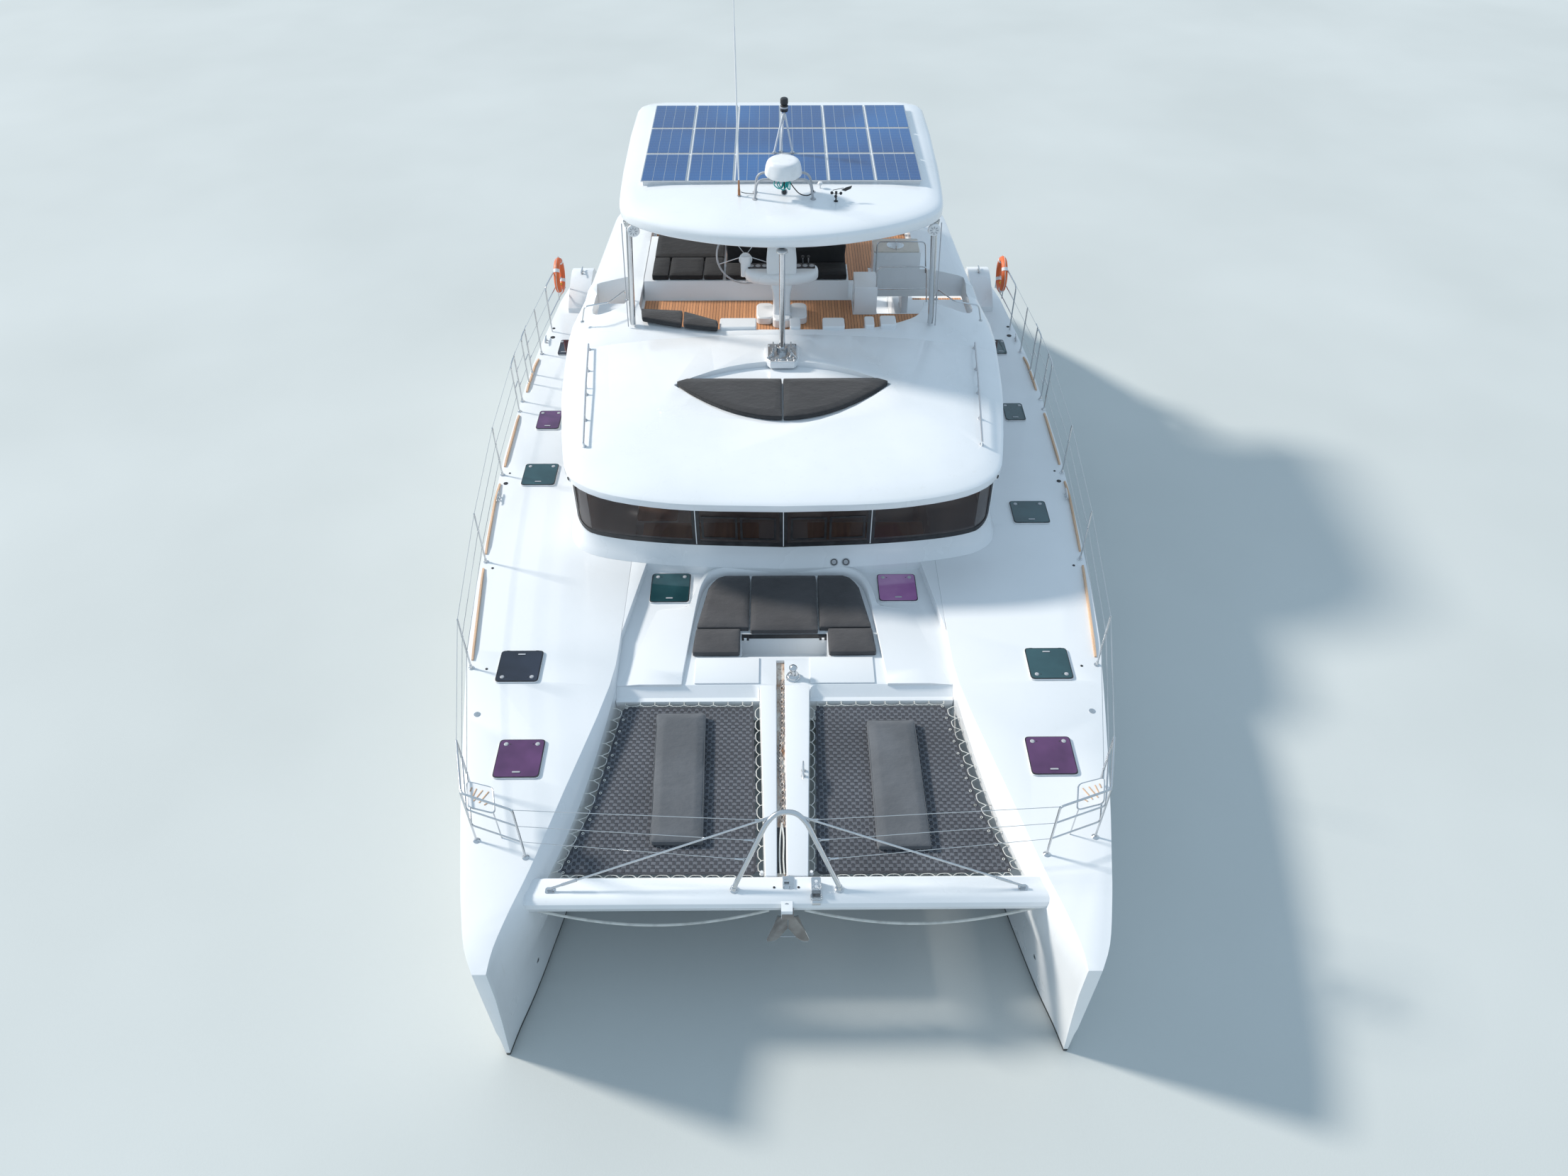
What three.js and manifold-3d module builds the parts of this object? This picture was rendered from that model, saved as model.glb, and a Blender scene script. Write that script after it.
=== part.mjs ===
// A large cruising catamaran at its real size, in millimetres, +Z up, bow toward -Y.
// The origin is on the water, amidships, halfway between the two hulls.
// "aft" is the distance behind the bow. The function at() turns it into Y.
// Starboard is -X and port is +X.
import * as THREE from "three";
import { mergeVertices } from "three/addons/utils/BufferGeometryUtils.js";
import Module from "manifold-3d";

const wasm = await Module();
wasm.setup();

// Driving dimensions
const LENGTH = 18900;
const HULL_CENTRE = 3550;
const DECK = 2100;
const FOREDECK = 1950;
const LEDGE = 1815;
const WET_DECK = 950;
const SALOON_FLOOR = 1350;
const COCKPIT_FLOOR = 1450;
const SIDE_DECK_INNER = 2450;
const GLASS_BOTTOM = 2450;
const GLASS_TOP = 3350;
const ROOF_UNDERSIDE = 3450;
const ROOF_PAD = 4020;
const FLY_FLOOR = 3750;
const HARDTOP_UNDERSIDE = 5880;
const GAP = 0.4; // between pieces that touch

// Places along the boat
const LIP = 4330;
const BULKHEAD = 4400;
const EDGE_TOP = 4530;
const SALOON_FRONT = 7300;
const SALOON_AFT = 11750;
const BRIDGE_AFT = 16900;
const ROOF_FRONT = 6620;
const ROOF_SPLIT = 10900;
const FLY_AFT = 16500;
const SCOOP_START = 15600;
const BEAM = { front: 950, back: 1330, low: 1790, high: 2000, half: 3300 };

const V = (x, y, z) => new THREE.Vector3(x, y, z);
const along = (aft) => aft - LENGTH / 2;
const at = (x, aft, z) => V(x, along(aft), z);

// Solids and booleans
function solid(geometry) {
  const bare = geometry.clone();
  bare.deleteAttribute("normal");
  bare.deleteAttribute("uv");
  const merged = mergeVertices(bare, 1e-3);
  return new wasm.Manifold(
    new wasm.Mesh({
      numProp: 3,
      vertProperties: new Float32Array(merged.attributes.position.array),
      triVerts: new Uint32Array(merged.index.array),
    }),
  );
}

const join = (...solids) => solids.reduce((a, b) => a.add(b));
const cut = (whole, ...tools) => tools.reduce((a, b) => a.subtract(b), whole);

function box(x0, x1, aft0, aft1, z0, z1) {
  const g = new THREE.BoxGeometry(x1 - x0, aft1 - aft0, z1 - z0);
  g.translate((x0 + x1) / 2, along((aft0 + aft1) / 2), (z0 + z1) / 2);
  return solid(g);
}

const flat = (points) => new THREE.Shape(points.map(([a, b]) => new THREE.Vector2(a, b)));

// A smooth curve through a few [x, aft] points, as a chain of short chords
const smooth = (points, chords) =>
  new THREE.SplineCurve(points.map(([x, aft]) => new THREE.Vector2(x, aft)))
    .getPoints(chords)
    .map((p) => [p.x, p.y]);

// A plan outline of [x, aft] points, raised from z0 to z1
function prism(points, z0, z1) {
  const plan = points.map(([x, aft]) => [x, along(aft)]);
  const g = new THREE.ExtrudeGeometry(flat(plan), { depth: z1 - z0, bevelEnabled: false });
  g.translate(0, 0, z0);
  return solid(g);
}

// A side profile of [aft, z] points, carried across the boat from x0 to x1
function profile(points, x0, x1) {
  const side = points.map(([aft, z]) => [along(aft), z]);
  const g = new THREE.ExtrudeGeometry(flat(side), { depth: x1 - x0, bevelEnabled: false });
  g.applyMatrix4(new THREE.Matrix4().makeBasis(V(0, 1, 0), V(0, 0, 1), V(1, 0, 0)));
  g.translate(x0, 0, 0);
  return solid(g);
}

// A skin over closed rings of equal point count, with both ends capped
function loft(rings) {
  const n = rings[0].length;
  const last = rings.length - 1;
  const faces = [];
  for (let r = 0; r < last; r++) {
    for (let i = 0; i < n; i++) {
      const j = (i + 1) % n;
      faces.push([r * n + i, r * n + j, (r + 1) * n + j]);
      faces.push([r * n + i, (r + 1) * n + j, (r + 1) * n + i]);
    }
  }
  for (const face of capFaces(rings[0])) faces.push(face.reverse());
  for (const face of capFaces(rings[last])) faces.push(face.map((i) => last * n + i));
  const points = rings.flat();
  let volume = 0;
  for (const [a, b, c] of faces) {
    volume += points[a].dot(V(0, 0, 0).crossVectors(points[b], points[c]));
  }
  const g = new THREE.BufferGeometry().setFromPoints(points);
  g.setIndex(faces.flatMap((face) => (volume < 0 ? face.reverse() : face)));
  return solid(g);
}

// The triangles of a flat ring, each running the same way as the ring
function capFaces(ring) {
  const area = { x: 0, y: 0, z: 0 };
  ring.forEach((p, i) => {
    const q = ring[(i + 1) % ring.length];
    area.x += p.y * q.z - q.y * p.z;
    area.y += p.z * q.x - q.z * p.x;
    area.z += p.x * q.y - q.x * p.y;
  });
  const axis = ["x", "y", "z"].reduce((a, b) => (Math.abs(area[a]) > Math.abs(area[b]) ? a : b));
  const [u, v] = ["x", "y", "z"].filter((name) => name !== axis);
  const outline = ring.map((p) => new THREE.Vector2(p[u], p[v]));
  const faces = THREE.ShapeUtils.triangulateShape(outline, []);
  return faces.map((face) => [...face].sort((a, b) => a - b));
}

// A path that turns only at its own points
class Route extends THREE.Curve {
  constructor(points) {
    super();
    this.points = points;
  }
  getPointAt(u) {
    const place = u * (this.points.length - 1);
    const i = Math.min(Math.floor(place + 1e-9), this.points.length - 2);
    return this.points[i].clone().lerp(this.points[i + 1], place - i);
  }
  getTangentAt(u) {
    const i = Math.round(u * (this.points.length - 1));
    const before = this.points[Math.max(i - 1, 0)];
    const after = this.points[Math.min(i + 1, this.points.length - 1)];
    const here = this.points[i];
    const into = V(0, 0, 0).subVectors(here, before).normalize();
    const out = V(0, 0, 0).subVectors(after, here).normalize();
    return into.add(out).normalize();
  }
}

function roundShape(radius, sides) {
  const turn = (2 * Math.PI) / sides;
  const points = [];
  for (let i = 0; i < sides; i++) {
    points.push([radius * Math.cos((i + 0.5) * turn), radius * Math.sin((i + 0.5) * turn)]);
  }
  return flat(points);
}

function tube(points, radius, sides = 6) {
  const options = {
    steps: points.length - 1,
    extrudePath: new Route(points),
    bevelEnabled: false,
  };
  return solid(new THREE.ExtrudeGeometry(roundShape(radius, sides), options));
}

// Rounds each inner corner of a path with short chords
function rounded(points, radius, chords = 4) {
  const path = [points[0]];
  for (let i = 1; i < points.length - 1; i++) {
    const here = points[i];
    const back = V(0, 0, 0).subVectors(points[i - 1], here);
    const on = V(0, 0, 0).subVectors(points[i + 1], here);
    const reach = Math.min(radius, back.length() / 2.01, on.length() / 2.01);
    const start = here.clone().addScaledVector(back.normalize(), reach);
    const end = here.clone().addScaledVector(on.normalize(), reach);
    const bend = new THREE.QuadraticBezierCurve3(start, here, end);
    path.push(...bend.getPoints(chords));
  }
  path.push(points[points.length - 1]);
  return path;
}

// A turned piece: [radius, z] points from axis to axis, standing at a place
function turned(points, x, aft, sides = 16) {
  const g = new THREE.LatheGeometry(
    points.map(([r, z]) => new THREE.Vector2(r, z)),
    sides,
  );
  g.rotateX(Math.PI / 2);
  g.translate(x, along(aft), 0);
  return solid(g);
}

const disc = (x, aft, radius, z0, z1, sides = 16) =>
  turned([[0, z0], [radius, z0], [radius, z1], [0, z1]], x, aft, sides);

// Moves an open outline sideways: its ends move only in x
function offset(outline, by) {
  return outline.map(([x, aft], i) => {
    if (i === 0) return [x - by, aft];
    if (i === outline.length - 1) return [x + by, aft];
    const [ax, ay] = outline[i - 1];
    const [bx, by2] = outline[i + 1];
    const run = Math.hypot(bx - ax, by2 - ay);
    return [x + ((by2 - ay) / run) * by, aft - ((bx - ax) / run) * by];
  });
}

// Both sides of a half outline given from the middle of the boat outward
const mirrored = (half) => [
  ...half.map(([x, aft]) => [-x, aft]).reverse(),
  ...half.filter(([x]) => x > 0),
];

const ring = (outline, z) => outline.map(([x, aft]) => at(x, aft, z));

// Rings of one outline, scaled toward an anchor, at the given [z, scale] levels
function domed(outline, anchorAft, levels) {
  const rings = levels.map(([z, scale]) =>
    ring(
      outline.map(([x, aft]) => [x * scale, anchorAft + (aft - anchorAft) * scale]),
      z,
    ),
  );
  return loft(rings);
}

// Materials
const finish = (color, roughness, metalness = 0) =>
  new THREE.MeshStandardMaterial({ color, roughness, metalness });
const MATERIALS = {
  gelcoat: finish(0xf2f4f5, 0.25),
  steel: finish(0xc9cdd0, 0.22, 1),
  net: finish(0x2b2b2f, 0.9),
  cushion: finish(0x35323a, 0.85),
  tint: finish(0x2a1a16, 0.08),
  solar: finish(0x1f3f86, 0.2),
  galvanised: finish(0x8d9499, 0.45, 1),
  bronze: finish(0xa98245, 0.35, 1),
  wood: finish(0x9c6a42, 0.6),
};

const catamaran = new THREE.Group();

function add(name, body, material) {
  const mesh = body.getMesh();
  const g = new THREE.BufferGeometry();
  g.setAttribute("position", new THREE.BufferAttribute(mesh.vertProperties, 3));
  g.setIndex(new THREE.BufferAttribute(mesh.triVerts, 1));
  const made = new THREE.Mesh(g, MATERIALS[material]);
  made.name = name;
  catamaran.add(made);
}

const SIDES = [
  ["starboard", -1],
  ["port", 1],
];

// Hulls
// aft, outer deck edge, inner deck edge, deck height, inner wall, shoulder height, wall foot
// height, inner topside at the foot, foot of the topside height, half breadth at the water, depth
const STATIONS = [
  [0, 3612, 3450, 2100, 3448, 2040, 1500, 3475, 900, 24, 60],
  [330, 3770, 3432, 2100, 3405, 1960, 1500, 3420, 900, 95, 400],
  [800, 3900, 3330, 2100, 3230, 1880, 1450, 3290, 900, 220, 640],
  [1400, 4035, 3170, 2100, 3000, 1840, 1350, 3140, 900, 345, 800],
  [2600, 4275, 2905, 2100, 2720, 1840, 1200, 2920, 900, 560, 900],
  [4400, 4590, 2515, 2100, 2450, 1985, 950, 2740, 900, 760, 950],
  [5500, 4750, 2460, 2100, 2450, 2085, 950, 2715, 900, 815, 955],
  [7000, 4880, 2455, 2100, 2450, 2090, 950, 2690, 900, 880, 960],
  [10000, 5020, 2455, 2100, 2450, 2090, 950, 2660, 900, 900, 950],
  [13000, 5000, 2455, 2100, 2450, 2090, 950, 2665, 900, 890, 860],
  [15600, 4800, 2455, 2100, 2450, 2090, 950, 2700, 900, 850, 620],
  [16900, 4720, 2500, 1900, 2450, 1850, 950, 2720, 900, 810, 470],
  [17000, 4710, 2760, 1870, 2745, 1820, 950, 2750, 850, 805, 455],
  [18000, 4640, 2790, 1150, 2775, 1100, 800, 2780, 700, 760, 340],
  [18900, 4560, 2820, 850, 2805, 800, 600, 2810, 500, 700, 240],
];

function hullRing(row, side, inward) {
  const [aft, outer, inner, deck, wall, shoulder, wallFoot, low, lowZ, half, depth] = row;
  const flare = Math.max(outer - HULL_CENTRE - half, 0);
  const c = HULL_CENTRE;
  const points = [
    [outer, deck],
    [outer - 0.03 * flare, deck - 0.2 * (deck - 550)],
    [c + half + 0.62 * flare, 620],
    [c + half + 0.22 * flare, 470],
    [c + half, 0],
    [c + 0.86 * half, -0.5 * depth],
    [c + 0.46 * half, -0.9 * depth],
    [c, -depth],
    [c - 0.46 * half, -0.9 * depth],
    [c - 0.86 * half, -0.5 * depth],
    [c - half, 0],
    [low, lowZ],
    [wall, wallFoot],
    [wall, shoulder],
    [inner, deck],
  ];
  return points.map(([x, z]) => at(side * (x - inward), aft, z));
}

// Rows between the stations, on a smooth curve that stays between its two neighbours' values
const FAIRED = STATIONS.findIndex(([aft]) => aft === SCOOP_START);
const CHORDS = 3;

function fairStations() {
  const rows = [];
  for (let i = 0; i < FAIRED; i++) {
    const [before, here, next, after] = [Math.max(i - 1, 0), i, i + 1, i + 2].map((k) => STATIONS[k]);
    for (let k = 0; k < CHORDS; k++) {
      const t = k / CHORDS;
      rows.push(
        here.map((b, n) => {
          const [a, c, d] = [before[n], next[n], after[n]];
          const square = 2 * a - 5 * b + 4 * c - d;
          const cube = 3 * b - a - 3 * c + d;
          const bend = b + 0.5 * ((c - a) * t + square * t ** 2 + cube * t ** 3);
          return THREE.MathUtils.clamp(bend, Math.min(b, c), Math.max(b, c));
        }),
      );
    }
  }
  return [...rows, ...STATIONS.slice(FAIRED)];
}

const hullRows = fairStations();
const hullSkin = (side, inward = 0) => loft(hullRows.map((row) => hullRing(row, side, inward)));

// Hatches: name, inner x, outer x, front, back, and the edge that the hinge is on
const HATCHES = [
  ["hatch_bow_starboard", -3900, -3270, 2750, 3400, "front"],
  ["hatch_bow_port", 3270, 3900, 2750, 3400, "front"],
  ["hatch_hull_starboard", -4180, -3550, 4450, 5070, "back"],
  ["hatch_hull_port", 3550, 4180, 4450, 5070, "back"],
  ["hatch_foredeck_starboard", -2115, -1485, 6235, 6905, "front"],
  ["hatch_foredeck_port", 1495, 2115, 6235, 6868, "front"],
  ["hatch_side_starboard_1", -4580, -3980, 9040, 9660, "front"],
  ["hatch_side_starboard_2", -4590, -4150, 10730, 11330, "front"],
  ["hatch_side_starboard_3", -4560, -4310, 13340, 13920, "front"],
  ["hatch_side_port_1", 3870, 4490, 7950, 8540, "front"],
  ["hatch_side_port_2", 4200, 4590, 10950, 11520, "front"],
  ["hatch_side_port_3", 4370, 4600, 13300, 13860, "front"],
];
const LID = { thick: 38, wellDepth: 60, wellInset: 45, over: 9, knob: 26 };

const deckUnder = (name) => (name.includes("foredeck") ? FOREDECK : DECK);

function hatchWell([name, x0, x1, front, back]) {
  const deck = deckUnder(name);
  const inset = LID.wellInset;
  const [low, high] = [deck - LID.wellDepth, deck + LID.over];
  return box(x0 + inset, x1 - inset, front + inset, back - inset, low, high);
}

// A flat lid over its well, with two knobs away from the hinge at the foot of one edge
function hatchLid([name, x0, x1, front, back, hinge]) {
  const low = deckUnder(name) + GAP;
  const high = low + LID.thick;
  const inset = 0.16 * (x1 - x0);
  const knobAft = hinge === "front" ? back - 90 : front + 90;
  const knobs = [x0 + inset, x1 - inset].map((x) => disc(x, knobAft, LID.knob, low + 10, high + 10, 8));
  return join(box(x0, x1, front, back, low, high), ...knobs);
}

// Underwater gear
const KEEL = { front: 7500, back: 12000, half: 170, bottom: -1550 };
const SHAFT = { front: 13050, back: 15330, z: -835, slope: 0.1, radius: 25, sides: 24 };
const PROPELLER = { aft: 15230, radius: 275, hub: 58, blades: 3 };
const BRACKET = { aft: 14930, half: 70, boss: 52 };
const RUDDER = { aft: 17000, front: 16750, back: 17500, top: -600, bottom: -1420, stock: 45, sides: 24 };
const RUNNING = 1.02; // a bearing's bore to its shaft, both many-sided

const shaftZ = (aft) => SHAFT.z - SHAFT.slope * (aft - SHAFT.front);

function keel(side) {
  const stretch = [0, 0.12, 0.35, 0.7, 1];
  const width = [0.12, 0.75, 1, 0.6, 0.06];
  const outer = stretch.map((t, i) => [width[i] * KEEL.half, KEEL.front + t * (KEEL.back - KEEL.front)]);
  const inner = [...outer].reverse().map(([x, aft]) => [-x, aft]);
  const plan = [...outer, ...inner].map(([x, aft]) => [side * HULL_CENTRE + x, aft]);
  return prism(plan, KEEL.bottom, -700);
}

// A rod along the line of the propeller shaft
function shaftRod(side, from, to, radius, sides) {
  const start = at(side * HULL_CENTRE, from, shaftZ(from));
  const end = at(side * HULL_CENTRE, to, shaftZ(to));
  return tube([start, end], radius, sides);
}

function bracket(side) {
  const x = side * HULL_CENTRE;
  const strut = box(x - 16, x + 16, BRACKET.aft - 60, BRACKET.aft + 60, shaftZ(BRACKET.aft), -500);
  const boss = shaftRod(side, BRACKET.aft - BRACKET.half, BRACKET.aft + BRACKET.half, BRACKET.boss, 12);
  return join(strut, boss);
}

function propeller(side) {
  const rod = shaftRod(side, SHAFT.front, SHAFT.back, SHAFT.radius, SHAFT.sides);
  const hub = shaftRod(side, PROPELLER.aft - 80, PROPELLER.aft + 80, PROPELLER.hub, 12);
  const pieces = [rod, hub];
  const tilt = Math.atan(SHAFT.slope);
  for (let i = 0; i < PROPELLER.blades; i++) {
    const outline = new THREE.Shape();
    outline.moveTo(-35, 30);
    outline.quadraticCurveTo(-125, 150, -60, PROPELLER.radius - 20);
    outline.quadraticCurveTo(0, PROPELLER.radius + 12, 60, PROPELLER.radius - 20);
    outline.quadraticCurveTo(110, 150, 35, 30);
    const g = new THREE.ExtrudeGeometry(outline, { depth: 12, bevelEnabled: false, curveSegments: 4 });
    g.translate(0, 0, -6);
    g.rotateY(0.55 * side);
    g.rotateZ((i * 2 * Math.PI) / PROPELLER.blades);
    g.rotateX(Math.PI / 2 + tilt);
    g.translate(side * HULL_CENTRE, along(PROPELLER.aft), shaftZ(PROPELLER.aft));
    pieces.push(solid(g));
  }
  return join(...pieces);
}

function rudder(side) {
  const x = side * HULL_CENTRE;
  const chord = RUDDER.back - RUDDER.front;
  const stretch = [0, 0.15, 0.35, 0.7, 1];
  const width = [8, 42, 50, 30, 5];
  const outer = stretch.map((t, i) => [x + width[i], RUDDER.front + t * chord]);
  const inner = [...outer].reverse().map(([px, aft]) => [2 * x - px, aft]);
  const blade = prism([...outer, ...inner], RUDDER.bottom, RUDDER.top);
  return join(blade, disc(x, RUDDER.aft, RUDDER.stock, RUDDER.top - 20, -250, RUDDER.sides));
}

// The steps down to the bathing platform, cut into the stern of each hull
const SCOOP = { steps: 6, rise: 275, run: 283, inner: 2880, outer: 4100 };

function scoop(side) {
  const treads = [];
  for (let i = 0; i < SCOOP.steps; i++) {
    const start = SCOOP_START + SCOOP.run * i;
    const floor = DECK - SCOOP.rise * (i + 1);
    const [x0, x1] = [side * SCOOP.inner, side * SCOOP.outer].sort((a, b) => a - b);
    treads.push(box(x0, x1, start, LENGTH + 100, floor, DECK + 50));
  }
  return treads;
}

// Moulded coaming that rises from each side deck and runs down beside the steps, as [aft, z]
const SIDE_BLOCK = { inner: SCOOP.outer, outer: 4560 };
const SIDE_BLOCK_OUTLINE = [
  [15080, DECK - 10],
  [15110, 2190],
  [15400, 2380],
  [15800, 2530],
  [16050, 2575],
  [16250, 2540],
  [16420, 2380],
  [16900, 2080],
  [17050, 1850],
  [17050, 1700],
  [15700, 1700],
];

function sideBlock(side) {
  const { inner, outer } = SIDE_BLOCK;
  const [x0, x1] = [side * inner, side * outer].sort((a, b) => a - b);
  return profile(SIDE_BLOCK_OUTLINE, x0, x1);
}

for (const [name, side] of SIDES) {
  const bore = disc(
    side * HULL_CENTRE,
    RUDDER.aft,
    RUDDER.stock * RUNNING,
    -900,
    -240,
    RUDDER.sides,
  );
  const tunnel = shaftRod(side, SHAFT.front - 350, SHAFT.back + 900, 40, 10);
  const bearing = shaftRod(side, 14000, 15900, SHAFT.radius * RUNNING, SHAFT.sides);
  const body = cut(
    join(hullSkin(side), sideBlock(side)),
    ...scoop(side),
    ...HATCHES.filter(([id]) => id.includes(name) && !id.includes("foredeck")).map(hatchWell),
    bore,
    tunnel,
  );
  add("hull_" + name, join(body, keel(side), cut(bracket(side), bearing)), "gelcoat");
  add("propeller_" + name, propeller(side), "bronze");
  add("rudder_" + name, rudder(side), "gelcoat");
}

// Plan of the saloon's outer wall, from the middle outward
const CABIN_FRONT = [
  [0, 7000],
  [1380, 7065],
  [2300, 7165],
  [2850, 7280],
  [3150, 7410],
  [3330, 7610],
  [3400, 7950],
];
const CABIN = [...smooth(CABIN_FRONT, 18), [3400, SALOON_AFT]];
const CABIN_FOOT = 130;

// Bridge deck: one moulding between the hulls, with the foredeck, saloon and cockpit floors
const FOOTWELL = { half: 650, front: 5085, back: 5560, floor: 1500 };
const LOCKER = { inner: 375, outer: 1315, front: 4545, back: 5055 };
const GUTTER = { x0: -120, x1: 0, back: 5010, depth: 55 };

// The side decks reach inward over the foredeck, wider toward the saloon
const DECK_WEDGE = { start: 5470, x: 2150, end: 7400 };

function deckWedge(side) {
  const edge = side * (SIDE_DECK_INNER - GAP);
  const plan = [
    [edge, DECK_WEDGE.start],
    [edge, DECK_WEDGE.end],
    [side * DECK_WEDGE.x, DECK_WEDGE.end],
  ];
  return cut(prism(plan, FOREDECK - 5, DECK), box(-9999, 9999, SALOON_FRONT, 20000, 0, 9999));
}

function lockerWell(side) {
  const [x0, x1] = [side * (LOCKER.inner + 40), side * (LOCKER.outer - 40)].sort((a, b) => a - b);
  const [low, high] = [FOREDECK - LID.wellDepth, FOREDECK + LID.over];
  return box(x0, x1, LOCKER.front + 40, LOCKER.back - 40, low, high);
}

function bridgeDeck() {
  const half = SIDE_DECK_INNER - GAP;
  const section = [
    [BULKHEAD, 1300],
    [5400, WET_DECK],
    [BRIDGE_AFT, WET_DECK],
    [BRIDGE_AFT, COCKPIT_FLOOR],
    [SALOON_AFT + 100, COCKPIT_FLOOR],
    [SALOON_AFT + 100, SALOON_FLOOR],
    [SALOON_FRONT, SALOON_FLOOR],
    [SALOON_FRONT, FOREDECK],
    [EDGE_TOP, FOREDECK],
    [BULKHEAD, LEDGE],
    [LIP, LEDGE],
    [LIP, LEDGE - 100],
    [BULKHEAD, LEDGE - 250],
  ];
  const transom = box(-1900, 1900, BRIDGE_AFT - 160, BRIDGE_AFT, COCKPIT_FLOOR - 5, 2080);
  const bench = box(-1880, 1300, BRIDGE_AFT - 760, BRIDGE_AFT - 150, COCKPIT_FLOOR - 5, 1880);
  const dash = box(-2300, 2300, SALOON_FRONT - 5, SALOON_FRONT + 560, SALOON_FLOOR - 5, 2250);
  const settee = box(900, 2300, SALOON_FRONT + 1500, 11600, SALOON_FLOOR - 5, 1800);
  const galley = box(-2440, -1750, SALOON_FRONT + 500, 11500, SALOON_FLOOR - 5, 2250);
  const foot = offset(mirrored(CABIN), CABIN_FOOT);
  const plinth = cut(
    prism(foot, FOREDECK - 5, DECK),
    box(-9999, -half, 0, 20000, 0, 9999),
    box(half, 9999, 0, 20000, 0, 9999),
    box(-9999, 9999, SALOON_FRONT, 20000, 0, 9999),
  );
  const footwell = box(
    -FOOTWELL.half,
    FOOTWELL.half,
    FOOTWELL.front,
    FOOTWELL.back,
    FOOTWELL.floor,
    DECK + 50,
  );
  const gutter = box(GUTTER.x0, GUTTER.x1, LIP - 10, GUTTER.back, FOREDECK - GUTTER.depth, DECK);
  const body = join(profile(section, -half, half), plinth, deckWedge(-1), deckWedge(1));
  return cut(
    join(body, transom, bench, dash, settee, galley),
    footwell,
    gutter,
    lockerWell(-1),
    lockerWell(1),
    ...HATCHES.filter(([id]) => id.includes("foredeck")).map(hatchWell),
  );
}
add("bridge_deck", bridgeDeck(), "gelcoat");

// Saloon: walls with their windows cut, and the glass set in them
const WALL = 70;
const GLASS = 14;
const cabinOutline = mirrored(CABIN);
const GLASS_FRONT_BACK = 7740;
const SIDE_GLASS = { front: 8150, back: 11350, bottom: 2560, top: 3300 };

// A band that follows the cabin's outline between two offsets
function band(outerBy, innerBy, z0, z1) {
  const far = 500;
  const outer = offset(cabinOutline, outerBy);
  const inner = offset(cabinOutline, innerBy);
  const start = inner[0];
  const end = inner[inner.length - 1];
  const tool = [[start[0], start[1] + far], ...inner, [end[0], end[1] + far]];
  return cut(prism(outer, z0, z1), prism(tool, z0 - 10, z1 + 10));
}

function saloonWalls() {
  const foot = DECK + GAP;
  const levels = [
    [foot, CABIN_FOOT],
    [2200, 60],
    [2400, 0],
    [ROOF_UNDERSIDE - GAP, 0],
  ];
  const shell = loft(levels.map(([z, by]) => ring(offset(cabinOutline, by), z)));
  const inner = offset(cabinOutline, -WALL);
  const hollow = prism(
    [[inner[0][0], SALOON_AFT + 500], ...inner, [-inner[0][0], SALOON_AFT + 500]],
    DECK - 50,
    ROOF_UNDERSIDE + 50,
  );
  const rebate = cut(
    band(60, -GLASS, GLASS_BOTTOM, GLASS_TOP),
    box(-4000, 4000, GLASS_FRONT_BACK, SALOON_AFT + 100, 2000, 4000),
  );
  const panes = [
    [60, 1320],
    [1440, 3080],
  ];
  const openings = panes.flatMap(([x0, x1]) => [
    box(x0, x1, 6500, 7600, GLASS_BOTTOM + 70, GLASS_TOP - 60),
    box(-x1, -x0, 6500, 7600, GLASS_BOTTOM + 70, GLASS_TOP - 60),
  ]);
  const { front, back, bottom, top } = SIDE_GLASS;
  const sideRebates = [-1, 1].map((side) => {
    const [x0, x1] = [side * (3400 - GLASS), side * 3600].sort((a, b) => a - b);
    return box(x0, x1, front, back, bottom, top);
  });
  const middle = (front + back) / 2;
  const sideOpenings = [-1, 1].flatMap((side) => {
    const [x0, x1] = [side * 3200, side * 3600].sort((a, b) => a - b);
    return [
      box(x0, x1, front + 60, middle - 50, bottom + 60, top - 60),
      box(x0, x1, middle + 50, back - 60, bottom + 60, top - 60),
    ];
  });
  return cut(shell, hollow, rebate, ...openings, ...sideRebates, ...sideOpenings);
}
add("saloon_walls", saloonWalls(), "gelcoat");

const frontGlass = cut(
  band(-GAP, GAP - GLASS, GLASS_BOTTOM + GAP, GLASS_TOP - GAP),
  box(-4000, 4000, GLASS_FRONT_BACK - GAP, SALOON_AFT + 100, 2000, 4000),
);
add("glass_front", frontGlass, "tint");
for (const [name, side] of SIDES) {
  const [x0, x1] = [side * (3400 - GLASS + GAP), side * (3400 - GAP)].sort((a, b) => a - b);
  const { front, back, bottom, top } = SIDE_GLASS;
  add("glass_" + name, box(x0, x1, front + GAP, back - GAP, bottom + GAP, top - GAP), "tint");
}

// Aft bulkhead of the saloon, with its doorway and the sliding door behind it
const AFT_WALL = { front: SALOON_AFT + 2, back: SALOON_AFT + 80 };
const DOORWAY = { x0: -1500, x1: 100, bottom: 1500, top: 3350 };
const DOOR = { travel: 1500, thick: 36 };

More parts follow.
